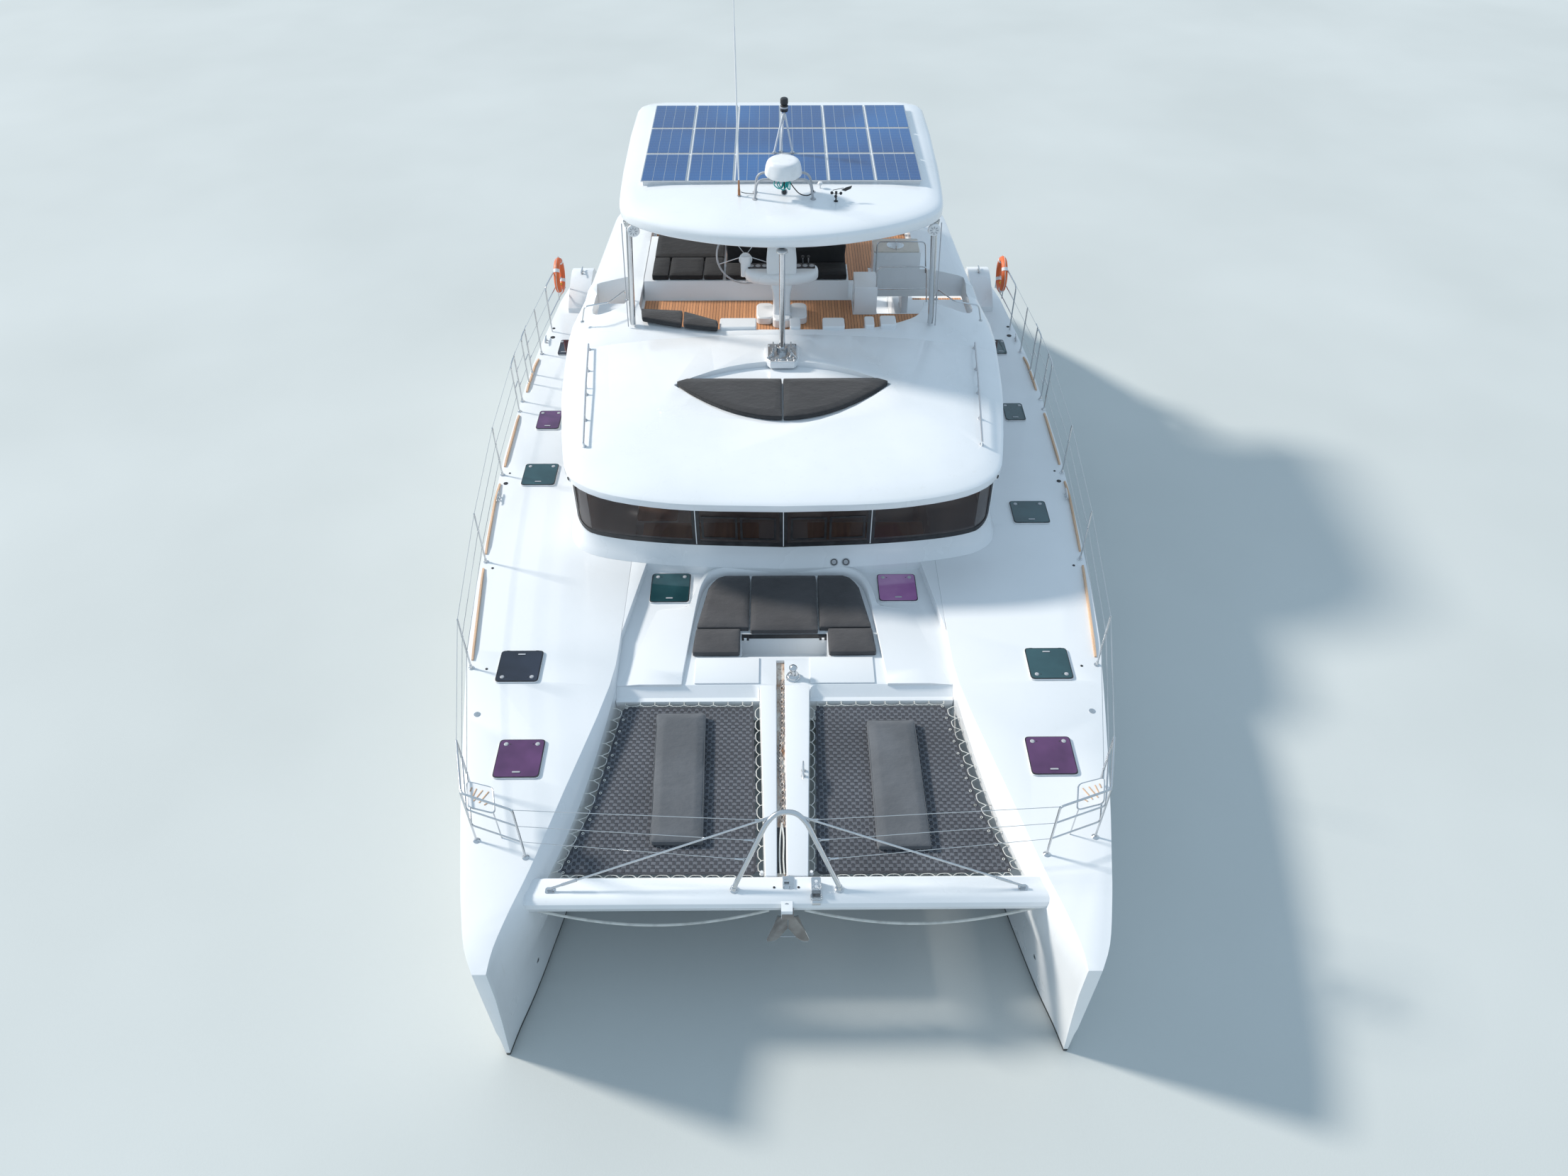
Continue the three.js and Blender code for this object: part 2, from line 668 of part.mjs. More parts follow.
function aftWall() {
  const low = COCKPIT_FLOOR + GAP;
  const high = ROOF_UNDERSIDE - GAP;
  const outline = [
    [-3395, DECK + GAP],
    [-SIDE_DECK_INNER + 1, DECK + GAP],
    [-SIDE_DECK_INNER + 1, low],
    [SIDE_DECK_INNER - 1, low],
    [SIDE_DECK_INNER - 1, DECK + GAP],
    [3395, DECK + GAP],
    [3395, high],
    [-3395, high],
  ];
  const rings = [AFT_WALL.front, AFT_WALL.back].map((aft) => outline.map(([x, z]) => at(x, aft, z)));
  const window = box(1850, 3200, AFT_WALL.front - 9, AFT_WALL.back + 9, 2500, 3300);
  const galley = box(-3200, -1750, AFT_WALL.front - 9, AFT_WALL.back + 9, 2500, 3300);
  const doorway = box(
    DOORWAY.x0,
    DOORWAY.x1,
    AFT_WALL.front - 9,
    AFT_WALL.back + 9,
    DOORWAY.bottom,
    DOORWAY.top,
  );
  const railEnd = DOORWAY.x1 + DOOR.travel + 60;
  const rail = box(DOORWAY.x0 - 40, railEnd, AFT_WALL.back - 5, AFT_WALL.back + 60, 3375, 3405);
  return join(cut(loft(rings), window, galley, doorway), rail);
}
add("saloon_aft_wall", aftWall(), "gelcoat");

const doorFront = AFT_WALL.back + 10;
function slidingDoor() {
  const [x0, x1] = [DOORWAY.x0 - 30, DOORWAY.x1 + 30];
  const panel = box(x0, x1, doorFront, doorFront + DOOR.thick, DOORWAY.bottom - 30, 3374.5);
  const pull = box(x0 + 60, x0 + 90, doorFront + 30, doorFront + 75, 2250, 2550);
  return join(panel, pull);
}
add("saloon_door", slidingDoor(), "tint");

// Coachroof and flybridge share one crown: height at each share of the half width
const CROWN = [
  [1, 3590],
  [0.985, 3625],
  [0.93, 3700],
  [0.8, 3800],
  [0.58, 3900],
  [0.33, 3960],
  [0.12, 3985],
];
const ROOF_EDGE = [
  [0, ROOF_FRONT],
  [1200, 6655],
  [1950, 6740],
  [2650, 6920],
  [3100, 7170],
  [3370, 7500],
  [3490, 8000],
  [3620, 8800],
  [3740, 9700],
  [3830, ROOF_SPLIT],
];
const COACHROOF = smooth(ROOF_EDGE, 22);
const LENS = { tip: 1780, tipAft: 9420, front: 8320, back: 9560, recess: 10040, floor: 3868 };

// An arc of [x, aft] points between two tips, bulging to "peak"
function bow(tip, tipAft, peak, count, clear = 0) {
  const points = [];
  for (let i = 0; i <= count; i++) {
    const t = -1 + (2 * i) / count;
    const x = t * (tip + clear);
    const rise = (peak - tipAft) * (1 - t * t);
    points.push([x, tipAft + rise + Math.sign(peak - tipAft) * clear]);
  }
  return points;
}

function coachroof() {
  const levels = [[ROOF_UNDERSIDE, 0.985], [3475, 1], ...CROWN.map(([share, z]) => [z, share])];
  const dome = domed(mirrored(COACHROOF), ROOF_SPLIT, levels);
  const pad = disc(0, 10250, 300, 3900, ROOF_PAD, 20);
  const front = bow(LENS.tip, LENS.tipAft, LENS.front, 12, 12);
  const back = bow(LENS.tip, LENS.tipAft, LENS.recess, 12, 12).reverse();
  const pocket = prism([...front, ...back], LENS.floor, 4100);
  return join(cut(dome, pocket), pad);
}
// Grab rails: a bar over feet that stand in the coachroof, as [x, aft, z]
const GRAB_RAIL = [
  [3130, 7950, 3800],
  [3290, 9600, 3850],
  [3405, ROOF_SPLIT - 30, 3830],
];

function grabRail(side) {
  const bar = GRAB_RAIL.map(([x, aft, z]) => at(side * x, aft, z));
  const feet = bar.map((p) => tube([p.clone().setZ(3600), p.clone()], 13, 6));
  return join(tube(bar, 13, 6), ...feet);
}
add("coachroof", join(coachroof(), grabRail(-1), grabRail(1)), "gelcoat");

function lensCushion() {
  const outline = [
    ...bow(LENS.tip, LENS.tipAft, LENS.front, 12),
    [LENS.tip - 240, LENS.back],
    [240 - LENS.tip, LENS.back],
  ];
  return prism(outline, LENS.floor + GAP, LENS.floor + 110);
}
add("roof_cushion", lensCushion(), "cushion");

// Flybridge
// The flybridge's edge in the same shares: beside the helm, and higher along the wings behind the stairs
const FLY_RIM = [3590, 3630, 3760, 3940, 4030, 4040, 4040];
const WING_RIM = [3720, 3810, 3890, 4000, 4050, 4050, 4050];
const FLY_STATIONS = [
  [ROOF_SPLIT + GAP, 3830, CROWN.map(([, z]) => z)],
  [11350, 3858, [3590, 3628, 3720, 3860, 3970, 4010, 4015]],
  [11900, 3850, FLY_RIM],
  [12850, 3740, FLY_RIM],
  [12990, 3690, WING_RIM],
  [13200, 3650, WING_RIM],
  [16000, 3480, WING_RIM],
  [16400, 3380, WING_RIM],
  [FLY_AFT, 3200, CROWN.map(([, z]) => z)],
];
const WELL_EDGE = [
  [0, 11060],
  [900, 11075],
  [1600, 11160],
  [2200, 11390],
  [2500, 11670],
  [2600, 12000],
];
const WELL = [...smooth(WELL_EDGE, 14), [2600, 16250]];
const STAIRS = {
  starboard: { x0: -3420, x1: -2850, front: 11860, back: 13460 },
  port: { x0: 2850, x1: 3420, front: 11890, back: 13490 },
};
const STAIR_STEPS = 6;
const FLY_OPENINGS = [
  [
    [-2820, 13000],
    [-2820, 12200],
    [-2900, 12020],
    [-3000, 11905],
    [-3120, 11860],
    [-3300, 11865],
    [-3400, 11910],
    [-3470, 12000],
    [-3500, 12170],
    [-3500, 13000],
  ],
  [
    [1760, 13250],
    [1760, 12050],
    [2860, 12050],
    [2930, 11970],
    [3040, 11910],
    [3180, 11890],
    [3340, 11895],
    [3450, 11950],
    [3510, 12040],
    [3540, 12180],
    [3500, 13250],
  ],
];

function flyShell(up = 0) {
  const rings = FLY_STATIONS.map(([aft, half, rim]) => {
    const top = CROWN.map(([share], i) => [share * half, rim[i] + up]);
    const edge = [[0.985 * half, ROOF_UNDERSIDE], [half, 3475], ...top];
    const port = edge.map(([x, z]) => at(x, aft, z));
    const starboard = [...edge].reverse().map(([x, z]) => at(-x, aft, z));
    return [...port, ...starboard];
  });
  return loft(rings);
}

// Treads that hang from the front edge of their opening and stand on the side deck
function stairs({ x0, x1, front, back }) {
  const start = front - 10;
  const run = (back - start) / STAIR_STEPS;
  const rise = (FLY_FLOOR - DECK) / (STAIR_STEPS + 1);
  const outline = [[back, DECK + GAP]];
  for (let i = 0; i < STAIR_STEPS; i++) {
    outline.push([back - run * i, DECK + rise * (i + 1)]);
    outline.push([back - run * (i + 1), DECK + rise * (i + 1)]);
  }
  outline.push([start, ROOF_UNDERSIDE - 120]);
  outline.push([back - run, DECK + GAP]);
  return profile(outline, x0, x1);
}

const SEAT = { front: 12560, lean: 90, height: 350 };
const LOUNGE = { x0: -2560, x1: -1060, back: 14500 };
const BENCH = { x0: -1070, x1: 1250, back: 13300 };
const CABINET = { x0: 1330, x1: 1740, front: 12010, back: 12600, height: 550 };
const AFT_UNIT = { x0: 1750, x1: 2640, front: 13250, back: 13800, height: 600 };
const PILLAR = { x0: 2560, x1: 2690, top: [15000, 15900], foot: [14900, 15450] };

function pillar(side) {
  const outline = [
    [PILLAR.foot[0], DECK + GAP],
    [PILLAR.foot[1], DECK + GAP],
    [PILLAR.top[1], ROOF_UNDERSIDE + 10],
    [PILLAR.top[0], ROOF_UNDERSIDE + 10],
  ];
  const [x0, x1] = [side * PILLAR.x0, side * PILLAR.x1].sort((a, b) => a - b);
  return profile(outline, x0, x1);
}

function flybridge() {
  const well = prism(mirrored(WELL), FLY_FLOOR, 4300);
  const openings = FLY_OPENINGS.map((plan) => prism(plan, 3400, 4300));
  const low = FLY_FLOOR - 5;
  const seat = ({ x0, x1, back }) =>
    profile(
      [
        [SEAT.front, low],
        [back, low],
        [back, FLY_FLOOR + SEAT.height],
        [SEAT.front + SEAT.lean, FLY_FLOOR + SEAT.height],
      ],
      x0,
      x1,
    );
  const chest = ({ x0, x1, front, back, height }) => box(x0, x1, front, back, low, FLY_FLOOR + height);
  return join(
    cut(flyShell(), well, ...openings),
    seat(LOUNGE),
    seat(BENCH),
    chest(CABINET),
    chest(AFT_UNIT),
    ...Object.values(STAIRS).map(stairs),
    pillar(-1),
    pillar(1),
  );
}
add("flybridge", flybridge(), "gelcoat");

const cushionOn = (x0, x1, front, back, z, thick) => box(x0, x1, front, back, z + GAP, z + thick);
const seatFront = SEAT.front + SEAT.lean + 10;
const seatTop = FLY_FLOOR + SEAT.height;
const onSeat = ({ x0, x1, back }) => cushionOn(x0 + 20, x1 - 20, seatFront, back - 20, seatTop, 120);
add("lounge_cushion", onSeat({ ...LOUNGE, x0: -2440 }), "cushion");
add("helm_cushion", onSeat(BENCH), "cushion");
const COAMING_PAD = [
  [-2540, 11650],
  [-2500, 11300],
  [-1830, 11090],
  [-1110, 10940],
  [-1110, 11220],
  [-1790, 11600],
];
add("coaming_pad", cut(prism(COAMING_PAD, 3900, 4130), flyShell(GAP)), "cushion");

// Helm: a pedestal on the flybridge floor with its instrument pod, and the wheel behind one end
const HELM = { podLow: 4450, podHigh: 4680, podBack: 12190, top: 5130 };
const HELM_POD = [
  [0, 11740],
  [330, 11775],
  [560, 11860],
  [660, 11980],
  [660, HELM.podBack],
];
const WHEEL = { x: -640, aft: 12270, z: 4790, radius: 520, rim: 17, tilt: 0.06, hub: 22 };

function helmConsole() {
  const floor = FLY_FLOOR + GAP;
  const lobes = [
    box(-460, -140, 11640, 12200, floor, 3900),
    box(140, 460, 11640, 12200, floor, 3900),
    box(-165, 165, 11510, 12200, floor, 3930),
  ];
  const column = loft(
    [
      [3890, 150, 11700, 12050],
      [HELM.podLow + 10, 200, 11790, 12150],
    ].map(([z, half, front, back]) => [
      at(-half, front, z),
      at(half, front, z),
      at(half, back, z),
      at(-half, back, z),
    ]),
  );
  const pod = prism(mirrored(HELM_POD), HELM.podLow, HELM.podHigh);
  const screen = box(-270, 270, 11800, 12010, HELM.podHigh - 5, HELM.top);
  const cone = turnedAlong(
    [
      [0, -170],
      [120, -170],
      [75, -45],
      [0, -45],
    ],
    16,
  );
  const bracketPlate = box(WHEEL.x - 90, WHEEL.x + 90, 12030, 12130, HELM.podLow + 40, WHEEL.z + 90);
  return join(...lobes, column, pod, screen, cone, bracketPlate);
}

// Turned pieces on the wheel's axis: [radius, distance behind the wheel's centre]
function turnedAlong(points, sides) {
  const g = new THREE.LatheGeometry(
    points.map(([r, y]) => new THREE.Vector2(r, y)),
    sides,
  );
  g.rotateX(-WHEEL.tilt);
  g.translate(WHEEL.x, along(WHEEL.aft), WHEEL.z);
  return solid(g);
}

const boreRadius = WHEEL.hub * RUNNING;
const wheelBore = turnedAlong(
  [
    [0, -400],
    [boreRadius, -400],
    [boreRadius, 300],
    [0, 300],
  ],
  24,
);
add("helm_console", cut(helmConsole(), wheelBore), "gelcoat");

function helmWheel() {
  const { radius, rim, hub } = WHEEL;
  const section = [];
  for (let i = 0; i < 6; i++) {
    const turn = (i * Math.PI) / 3;
    section.push([radius + rim * Math.cos(turn), rim * Math.sin(turn)]);
  }
  section.push([...section[0]]);
  const shaft = turnedAlong(
    [
      [0, -200],
      [hub, -200],
      [hub, 10],
      [0, 10],
    ],
    24,
  );
  const cap = turnedAlong(
    [
      [0, -16],
      [48, -16],
      [48, 16],
      [0, 30],
    ],
    16,
  );
  const parts = [shaft, cap, turnedAlong(section, 28)];
  for (let i = 0; i < 5; i++) {
    const spoke = new THREE.CylinderGeometry(9, 9, radius - 30, 6);
    spoke.translate(0, radius / 2 + 10, 0);
    spoke.rotateX(Math.PI / 2);
    spoke.rotateY((i * 2 * Math.PI) / 5);
    spoke.rotateX(-WHEEL.tilt);
    spoke.translate(WHEEL.x, along(WHEEL.aft), WHEEL.z);
    parts.push(solid(spoke));
  }
  return join(...parts);
}
add("helm_wheel", helmWheel(), "steel");

// Hardtop, its posts, and what stands on it
const HARDTOP_FRONT = [
  [0, 10250],
  [520, 10290],
  [1050, 10385],
  [1560, 10550],
  [1950, 10720],
  [2340, 10965],
  [2610, 11260],
  [2710, 11700],
  [2765, 12900],
];
const HARDTOP = [
  ...smooth(HARDTOP_FRONT, 24),
  [2790, 14500],
  [2770, 15700],
  [2720, 15900],
  [2600, 16030],
  [2400, 16100],
];
const hardtopLevels = (up) => [
  [HARDTOP_UNDERSIDE + up, 0.97],
  [5915 + up, 1],
  [6050 + up, 1.003],
  [6105 + up, 0.993],
  [6150 + up, 0.965],
  [6190 + up, 0.9],
  [6225 + up, 0.7],
  [6245 + up, 0.3],
];
const hardtopShell = (up = 0) => domed(mirrored(HARDTOP), 13200, hardtopLevels(up));
add("hardtop", hardtopShell(), "gelcoat");
const onHardtop = (piece) => cut(piece, hardtopShell(GAP));

const POSTS = [
  ["front", 2650, 11340, 2550, 11340, 3960],
  ["aft", 2420, 15300, 2380, 15300, FLY_FLOOR + GAP],
];
for (const [place, footX, aft, topX, topAft, low] of POSTS) {
  for (const [name, side] of SIDES) {
    const foot = at(side * footX, aft, low);
    const top = at(side * topX, topAft, HARDTOP_UNDERSIDE - 40);
    const roof = HARDTOP_UNDERSIDE - GAP;
    const cap = turned([[0, 5790], [75, 5790], [90, 5850], [90, roof], [0, roof]], side * topX, topAft, 12);
    const post = join(tube([foot, V(foot.x, foot.y, low + 160), top], 52, 10), cap);
    add("post_" + place + "_" + name, place === "front" ? cut(post, flyShell(GAP)) : post, "steel");
  }
}

function centrePost() {
  const z = ROOF_PAD + GAP;
  const plate = box(-245, 245, 10005, 10495, z, z + 25);
  const stem = disc(0, 10250, 50, z + 20, HARDTOP_UNDERSIDE - GAP, 14);
  const collar = disc(0, 10250, 95, z + 20, z + 120, 14);
  const head = disc(0, 10250, 95, HARDTOP_UNDERSIDE - 30, HARDTOP_UNDERSIDE - GAP, 14);
  const lugs = [-1, 1].map((side) => box(side * 150 - 12, side * 150 + 12, 10150, 10350, z + 20, z + 150));
  return join(plate, stem, collar, head, ...lugs);
}
add("centre_post", centrePost(), "steel");

const SOLAR = { half: 2370, front: 11950, back: 15440, z: 6262, thick: 34 };
function solarArray() {
  const slab = box(-SOLAR.half, SOLAR.half, SOLAR.front, SOLAR.back, SOLAR.z, SOLAR.z + SOLAR.thick);
  const feet = [];
  for (const x of [-2250, -750, 750, 2250]) {
    for (const aft of [12050, 13700, 15340]) {
      feet.push(box(x - 20, x + 20, aft - 20, aft + 20, 6050, SOLAR.z + 5));
    }
  }
  return onHardtop(join(slab, ...feet));
}
add("solar_array", solarArray(), "solar");

function radar() {
  const corners = [[-440, 6100], [-400, 6560], [460, 6560], [520, 6100]];
  const hoop = (aft) => tube(rounded(corners.map(([x, z]) => at(x, aft, z)), 160, 3), 20, 6);
  const plate = box(-180, 240, 11340, 11660, 6540, 6575);
  const dome = turned(
    [[0, 6570], [250, 6570], [300, 6620], [305, 6720], [270, 6790], [150, 6825], [0, 6830]],
    30,
    11500,
    20,
  );
  return onHardtop(join(hoop(11360), hoop(11630), plate, dome));
}
add("radar", radar(), "gelcoat");

const LIGHT_MAST = { x: 55, aft: 13150, top: 7150 };
function lightMast() {
  const { x, aft, top } = LIGHT_MAST;
  const base = SOLAR.z + SOLAR.thick + GAP;
  const head = V(x, along(aft), top - 200);
  const legs = [[-175, -30], [-60, 30], [145, -20]].map(([dx, dy]) =>
    tube([at(x + dx, aft + dy, base + 8), head], 14, 6),
  );
  const feet = disc(x - 15, aft, 200, base, base + 10, 16);
  const stem = disc(x, aft, 22, top - 260, top - 160, 10);
  const lamp = [
    [0, -190],
    [60, -190],
    [72, -150],
    [72, -60],
    [48, -50],
    [48, -40],
    [72, -30],
    [72, 60],
    [40, 90],
    [0, 90],
  ].map(([r, dz]) => [r, top + dz]);
  return join(feet, ...legs, stem, turned(lamp, x, aft, 12));
}
add("light_mast", lightMast(), "steel");

const WHIP = { x: -700, aft: 11480, top: 11400 };
function whip() {
  const rod = [[0, 6000], [32, 6000], [32, 6420], [16, 6480], [12, 8800], [5, WHIP.top], [0, WHIP.top]];
  return onHardtop(turned(rod, WHIP.x, WHIP.aft, 8));
}
add("whip_antenna", whip(), "gelcoat");

// Bow: crossbeam, striker, walkway, nets, anchor
function crossbeam() {
  const { front, back, low, high, half } = BEAM;
  const outline = [
    [front + 60, low],
    [back - 60, low],
    [back - 15, low + 20],
    [back, low + 60],
    [back, high - 40],
    [back - 12, high - 12],
    [back - 40, high],
    [front + 130, high],
    [front + 65, high - 15],
    [front + 20, high - 50],
    [front, high - 110],
    [front + 12, low + 30],
  ];
  const bar = profile(outline, -half, half);
  const roller = box(-70, 70, front - 95, front + 60, low + 15, high - 30);
  return cut(join(bar, roller), hullSkin(-1, GAP), hullSkin(1, GAP));
}
add("crossbeam", crossbeam(), "gelcoat");

function striker() {
  const base = BEAM.high + GAP;
  const path = rounded(
    [
      at(-645, 1135, base),
      at(-645, 1135, base + 60),
      at(-235, 1500, 2900),
      at(-105, 1575, 2995),
      at(105, 1575, 2995),
      at(235, 1500, 2900),
      at(645, 1135, base + 60),
      at(645, 1135, base),
    ],
    120,
    3,
  );
  const arch = tube(path, 32, 8);
  const parts = [arch];
  for (const side of [-1, 1]) {
    parts.push(disc(side * 645, 1135, 60, base, base + 20, 12));
    parts.push(tube([at(side * 250, 1490, 2875), at(side * 2900, 1140, base + 40)], 11, 6));
    parts.push(box(side * 2900 - 70, side * 2900 + 70, 1110, 1170, base, base + 60));
  }
  return join(...parts);
}
add("striker", striker(), "steel");

const WALKWAY = { frontHalf: 270, backHalf: 365, low: 1790 };

// The walkway slopes from the beam's top to the foredeck's edge, over the ledge
function walkway() {
  const front = BEAM.back + GAP;
  const back = EDGE_TOP - GAP;
  const section = (aft, half, high) => [
    at(-half, aft, WALKWAY.low),
    at(half, aft, WALKWAY.low),
    at(half, aft, high),
    at(-half, aft, high),
  ];
  const bar = loft([section(front, WALKWAY.frontHalf, BEAM.high), section(back, WALKWAY.backHalf, FOREDECK)]);
  const { x0, x1, depth } = GUTTER;
  const gutter = profile(
    [
      [front - 10, BEAM.high - depth],
      [back + 10, FOREDECK - depth],
      [back + 10, DECK],
      [front - 10, DECK],
    ],
    x0,
    x1,
  );
  const foredeckEdge = profile(
    [
      [LIP - GAP, 1600],
      [LIP - GAP, LEDGE + GAP],
      [BULKHEAD - GAP, LEDGE + GAP],
      [EDGE_TOP - GAP, FOREDECK + 2 * GAP],
      [EDGE_TOP + 50, FOREDECK + 2 * GAP],
      [EDGE_TOP + 50, 1600],
    ],
    -1000,
    1000,
  );
  return cut(bar, gutter, foredeckEdge);
}
add("walkway", walkway(), "gelcoat");

function windlass() {
  const z = FOREDECK + GAP;
  return turned(
    [[0, z], [105, z], [105, z + 50], [60, z + 80], [45, z + 160], [58, z + 200], [52, z + 250], [0, z + 260]],
    125,
    4670,
    16,
  );
}

const NET = { z: 1790, thick: 16 };
const NET_CORNERS = [
  [2660, 1510],
  [400, 1490],
  [470, 4210],
  [2310, 4220],
];
const STRIP = { half: 9, reach: 420, count: 6 };
const PADS = {
  starboard: [[-1840, 4050], [-1120, 4050], [-1060, 1880], [-1760, 1880]],
  port: [[1850, 3910], [1150, 3910], [1160, 1800], [1870, 1800]],
};

// The net, and lacing strips from its edges to the beam, walkway, ledge and hull
function trampoline(side) {
  const corners = NET_CORNERS.map(([x, aft]) => [side * x, aft]);
  const sheet = prism(corners, NET.z, NET.z + NET.thick);
  const centre = [side * 1450, 2860];
  const parts = [sheet];
  corners.forEach(([x, aft], i) => {
    const [x2, aft2] = corners[(i + 1) % 4];
    const run = Math.hypot(x2 - x, aft2 - aft);
    const dir = [(x2 - x) / run, (aft2 - aft) / run];
    let normal = [dir[1], -dir[0]];
    const mid = [(x + x2) / 2 - centre[0], (aft + aft2) / 2 - centre[1]];
    if (normal[0] * mid[0] + normal[1] * mid[1] < 0) normal = [-normal[0], -normal[1]];
    for (let k = 0; k < STRIP.count; k++) {
      const t = (k + 0.5) / STRIP.count;
      const p = [x + t * (x2 - x), aft + t * (aft2 - aft)];
      const near = [p[0] - normal[0] * 20, p[1] - normal[1] * 20];
      const far = [p[0] + normal[0] * STRIP.reach, p[1] + normal[1] * STRIP.reach];
      const w = [dir[0] * STRIP.half, dir[1] * STRIP.half];
      const outline = [
        [near[0] - w[0], near[1] - w[1]],
        [far[0] - w[0], far[1] - w[1]],
        [far[0] + w[0], far[1] + w[1]],
        [near[0] + w[0], near[1] + w[1]],
      ];
      parts.push(prism(outline, NET.z + 2, NET.z + 12));
    }
  });
  const taper = (WALKWAY.backHalf - WALKWAY.frontHalf) / (EDGE_TOP - BEAM.back);
  const half = (aft) => WALKWAY.frontHalf + taper * (aft - BEAM.back);
  const walkSide = prism(
    [
      [-half(1000) - GAP, 1000],
      [half(1000) + GAP, 1000],
      [half(4700) + GAP, 4700],
      [-half(4700) - GAP, 4700],
    ],
    1600,
    2100,
  );
  const keep = [
    hullSkin(side, GAP),
    box(-4000, 4000, 0, BEAM.back + GAP, 1500, 2300),
    box(-4000, 4000, LIP - GAP, 5000, 1500, 2300),
    walkSide,
    side > 0 ? box(-4000, 0, 0, 6000, 1500, 2300) : box(0, 4000, 0, 6000, 1500, 2300),
  ];
  return cut(join(...parts), ...keep);
}

for (const [name, side] of SIDES) {
  add("trampoline_" + name, trampoline(side), "net");
  add("net_pad_" + name, prism(PADS[name], NET.z + NET.thick + GAP, NET.z + NET.thick + 120), "cushion");
}

function anchor() {
  const top = BEAM.low - GAP;
  const shank = profile(
    [
      [1010, top],
      [1090, top],
      [1060, 1330],
      [1010, 1250],
      [950, 1270],
    ],
    -16,
    16,
  );
  const blade = (side) =>
    loft(
      [0, 1].map((end) => {
        const x = side * (end ? 260 : -4);
        const z = end ? 1190 : 1300;
        const reach = end ? 60 : 190;
        const [front, back] = [960 - reach / 2, 1060 + reach];
        return [at(x, front, z), at(x, back, z - 40), at(x, back, z - 62), at(x, front, z - 22)];
      }),
    );
  return join(shank, blade(-1), blade(1));
}
add("anchor", anchor(), "galvanised");
add("windlass", windlass(), "steel");

// Foredeck seat: one U of cushions around the footwell
function foredeckCushions() {
  const half = FOOTWELL.half + 5;
  const front = FOOTWELL.front;
  const outer = [
    [950, 6780],
    [1060, 6715],
    [1140, 6610],
    [1200, 6480],
    [1345, 5600],
    [1385, front],
  ];
  const outline = [
    ...outer.map(([x, aft]) => [-x, aft]).reverse(),
    ...outer,
    [half, front],
    [half, FOOTWELL.back + 5],
    [-half, FOOTWELL.back + 5],
    [-half, front],
  ];
  return prism(outline, FOREDECK + GAP, FOREDECK + 110);
}
add("foredeck_cushions", foredeckCushions(), "cushion");

// Rails: posts by [x, aft, foot z], joined by rails or wires at three heights
const RAIL_HEIGHTS = [1000, 670, 340];
const POSTS_ALONG = [
  [3250, 1520, "rail"],
  [3870, 1740, "rail"],
  [4130, 2600, "wire"],
  [4570, 4750, "wire"],
  [4800, 7070, "wire"],
  [4950, 9370, "wire"],
  [4985, 11350, "rail"],
  [4985, 11690, "wire"],
  [4960, 12320, "rail"],
  [4945, 12650, "wire"],
  [4880, 13410, "wire"],
  [4800, 14300, "rail"],
  [4720, 15100, "rail"],
  [4650, 15560, "end"],
];
const BUOY = { x: 4640, aft: 15200, z: 2900, radius: 310, tube: 62 };

function rails(side) {
  const parts = [];
  const top = ([x, aft], h) => at(side * x, aft, DECK + GAP + h);
  POSTS_ALONG.forEach((post, i) => {
    parts.push(tube([top(post, 0), top(post, RAIL_HEIGHTS[0] + 12)], 14, 6));
    const next = POSTS_ALONG[i + 1];
    if (!next) return;
    const radius = post[2] === "rail" ? 13 : 5;
    for (const h of RAIL_HEIGHTS) {
      parts.push(tube([top(post, h), top(next, h)], radius, post[2] === "rail" ? 6 : 4));
    }
  });
  const ringShape = [];
  for (let i = 0; i <= 6; i++) {
    const turn = (i * Math.PI) / 3;
    const reach = BUOY.radius + BUOY.tube * Math.cos(turn);
    ringShape.push(new THREE.Vector2(reach, 0.75 * BUOY.tube * Math.sin(turn)));
  }
  ringShape[6] = ringShape[0].clone();
  const buoy = new THREE.LatheGeometry(ringShape, 18);
  buoy.rotateZ(Math.PI / 2);
  buoy.translate(side * (BUOY.x + 20), along(BUOY.aft), BUOY.z);
  parts.push(solid(buoy));
  return join(...parts);
}
for (const [name, side] of SIDES) add("rails_" + name, rails(side), "steel");

// Cockpit table and seat cushion
function table() {
  const z = COCKPIT_FLOOR + GAP;
  const top = box(-1200, 500, 14500, 15500, z + 720, z + 760);
  const leg = disc(-350, 15000, 60, z, z + 725, 12);
  const foot = disc(-350, 15000, 220, z, z + 20, 16);
  return join(top, leg, foot);
}
add("cockpit_table", table(), "wood");
add(
  "cockpit_cushion",
  cushionOn(-1860, 1280, BRIDGE_AFT - 740, BRIDGE_AFT - 170, 1880, 110),
  "cushion",
);

// Hatch and locker lids
for (const hatch of HATCHES) add(hatch[0], hatchLid(hatch), "tint");
for (const [name, side] of SIDES) {
  const [x0, x1] = [side * LOCKER.inner, side * LOCKER.outer].sort((a, b) => a - b);
  const low = FOREDECK + GAP;
  const lid = box(x0, x1, LOCKER.front, LOCKER.back, low, low + 22);
  add("locker_lid_" + name, lid, "gelcoat");
}

export default catamaran;
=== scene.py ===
import math
import bmesh
import bpy
from mathutils import Matrix, Vector
from mathutils.bvhtree import BVHTree


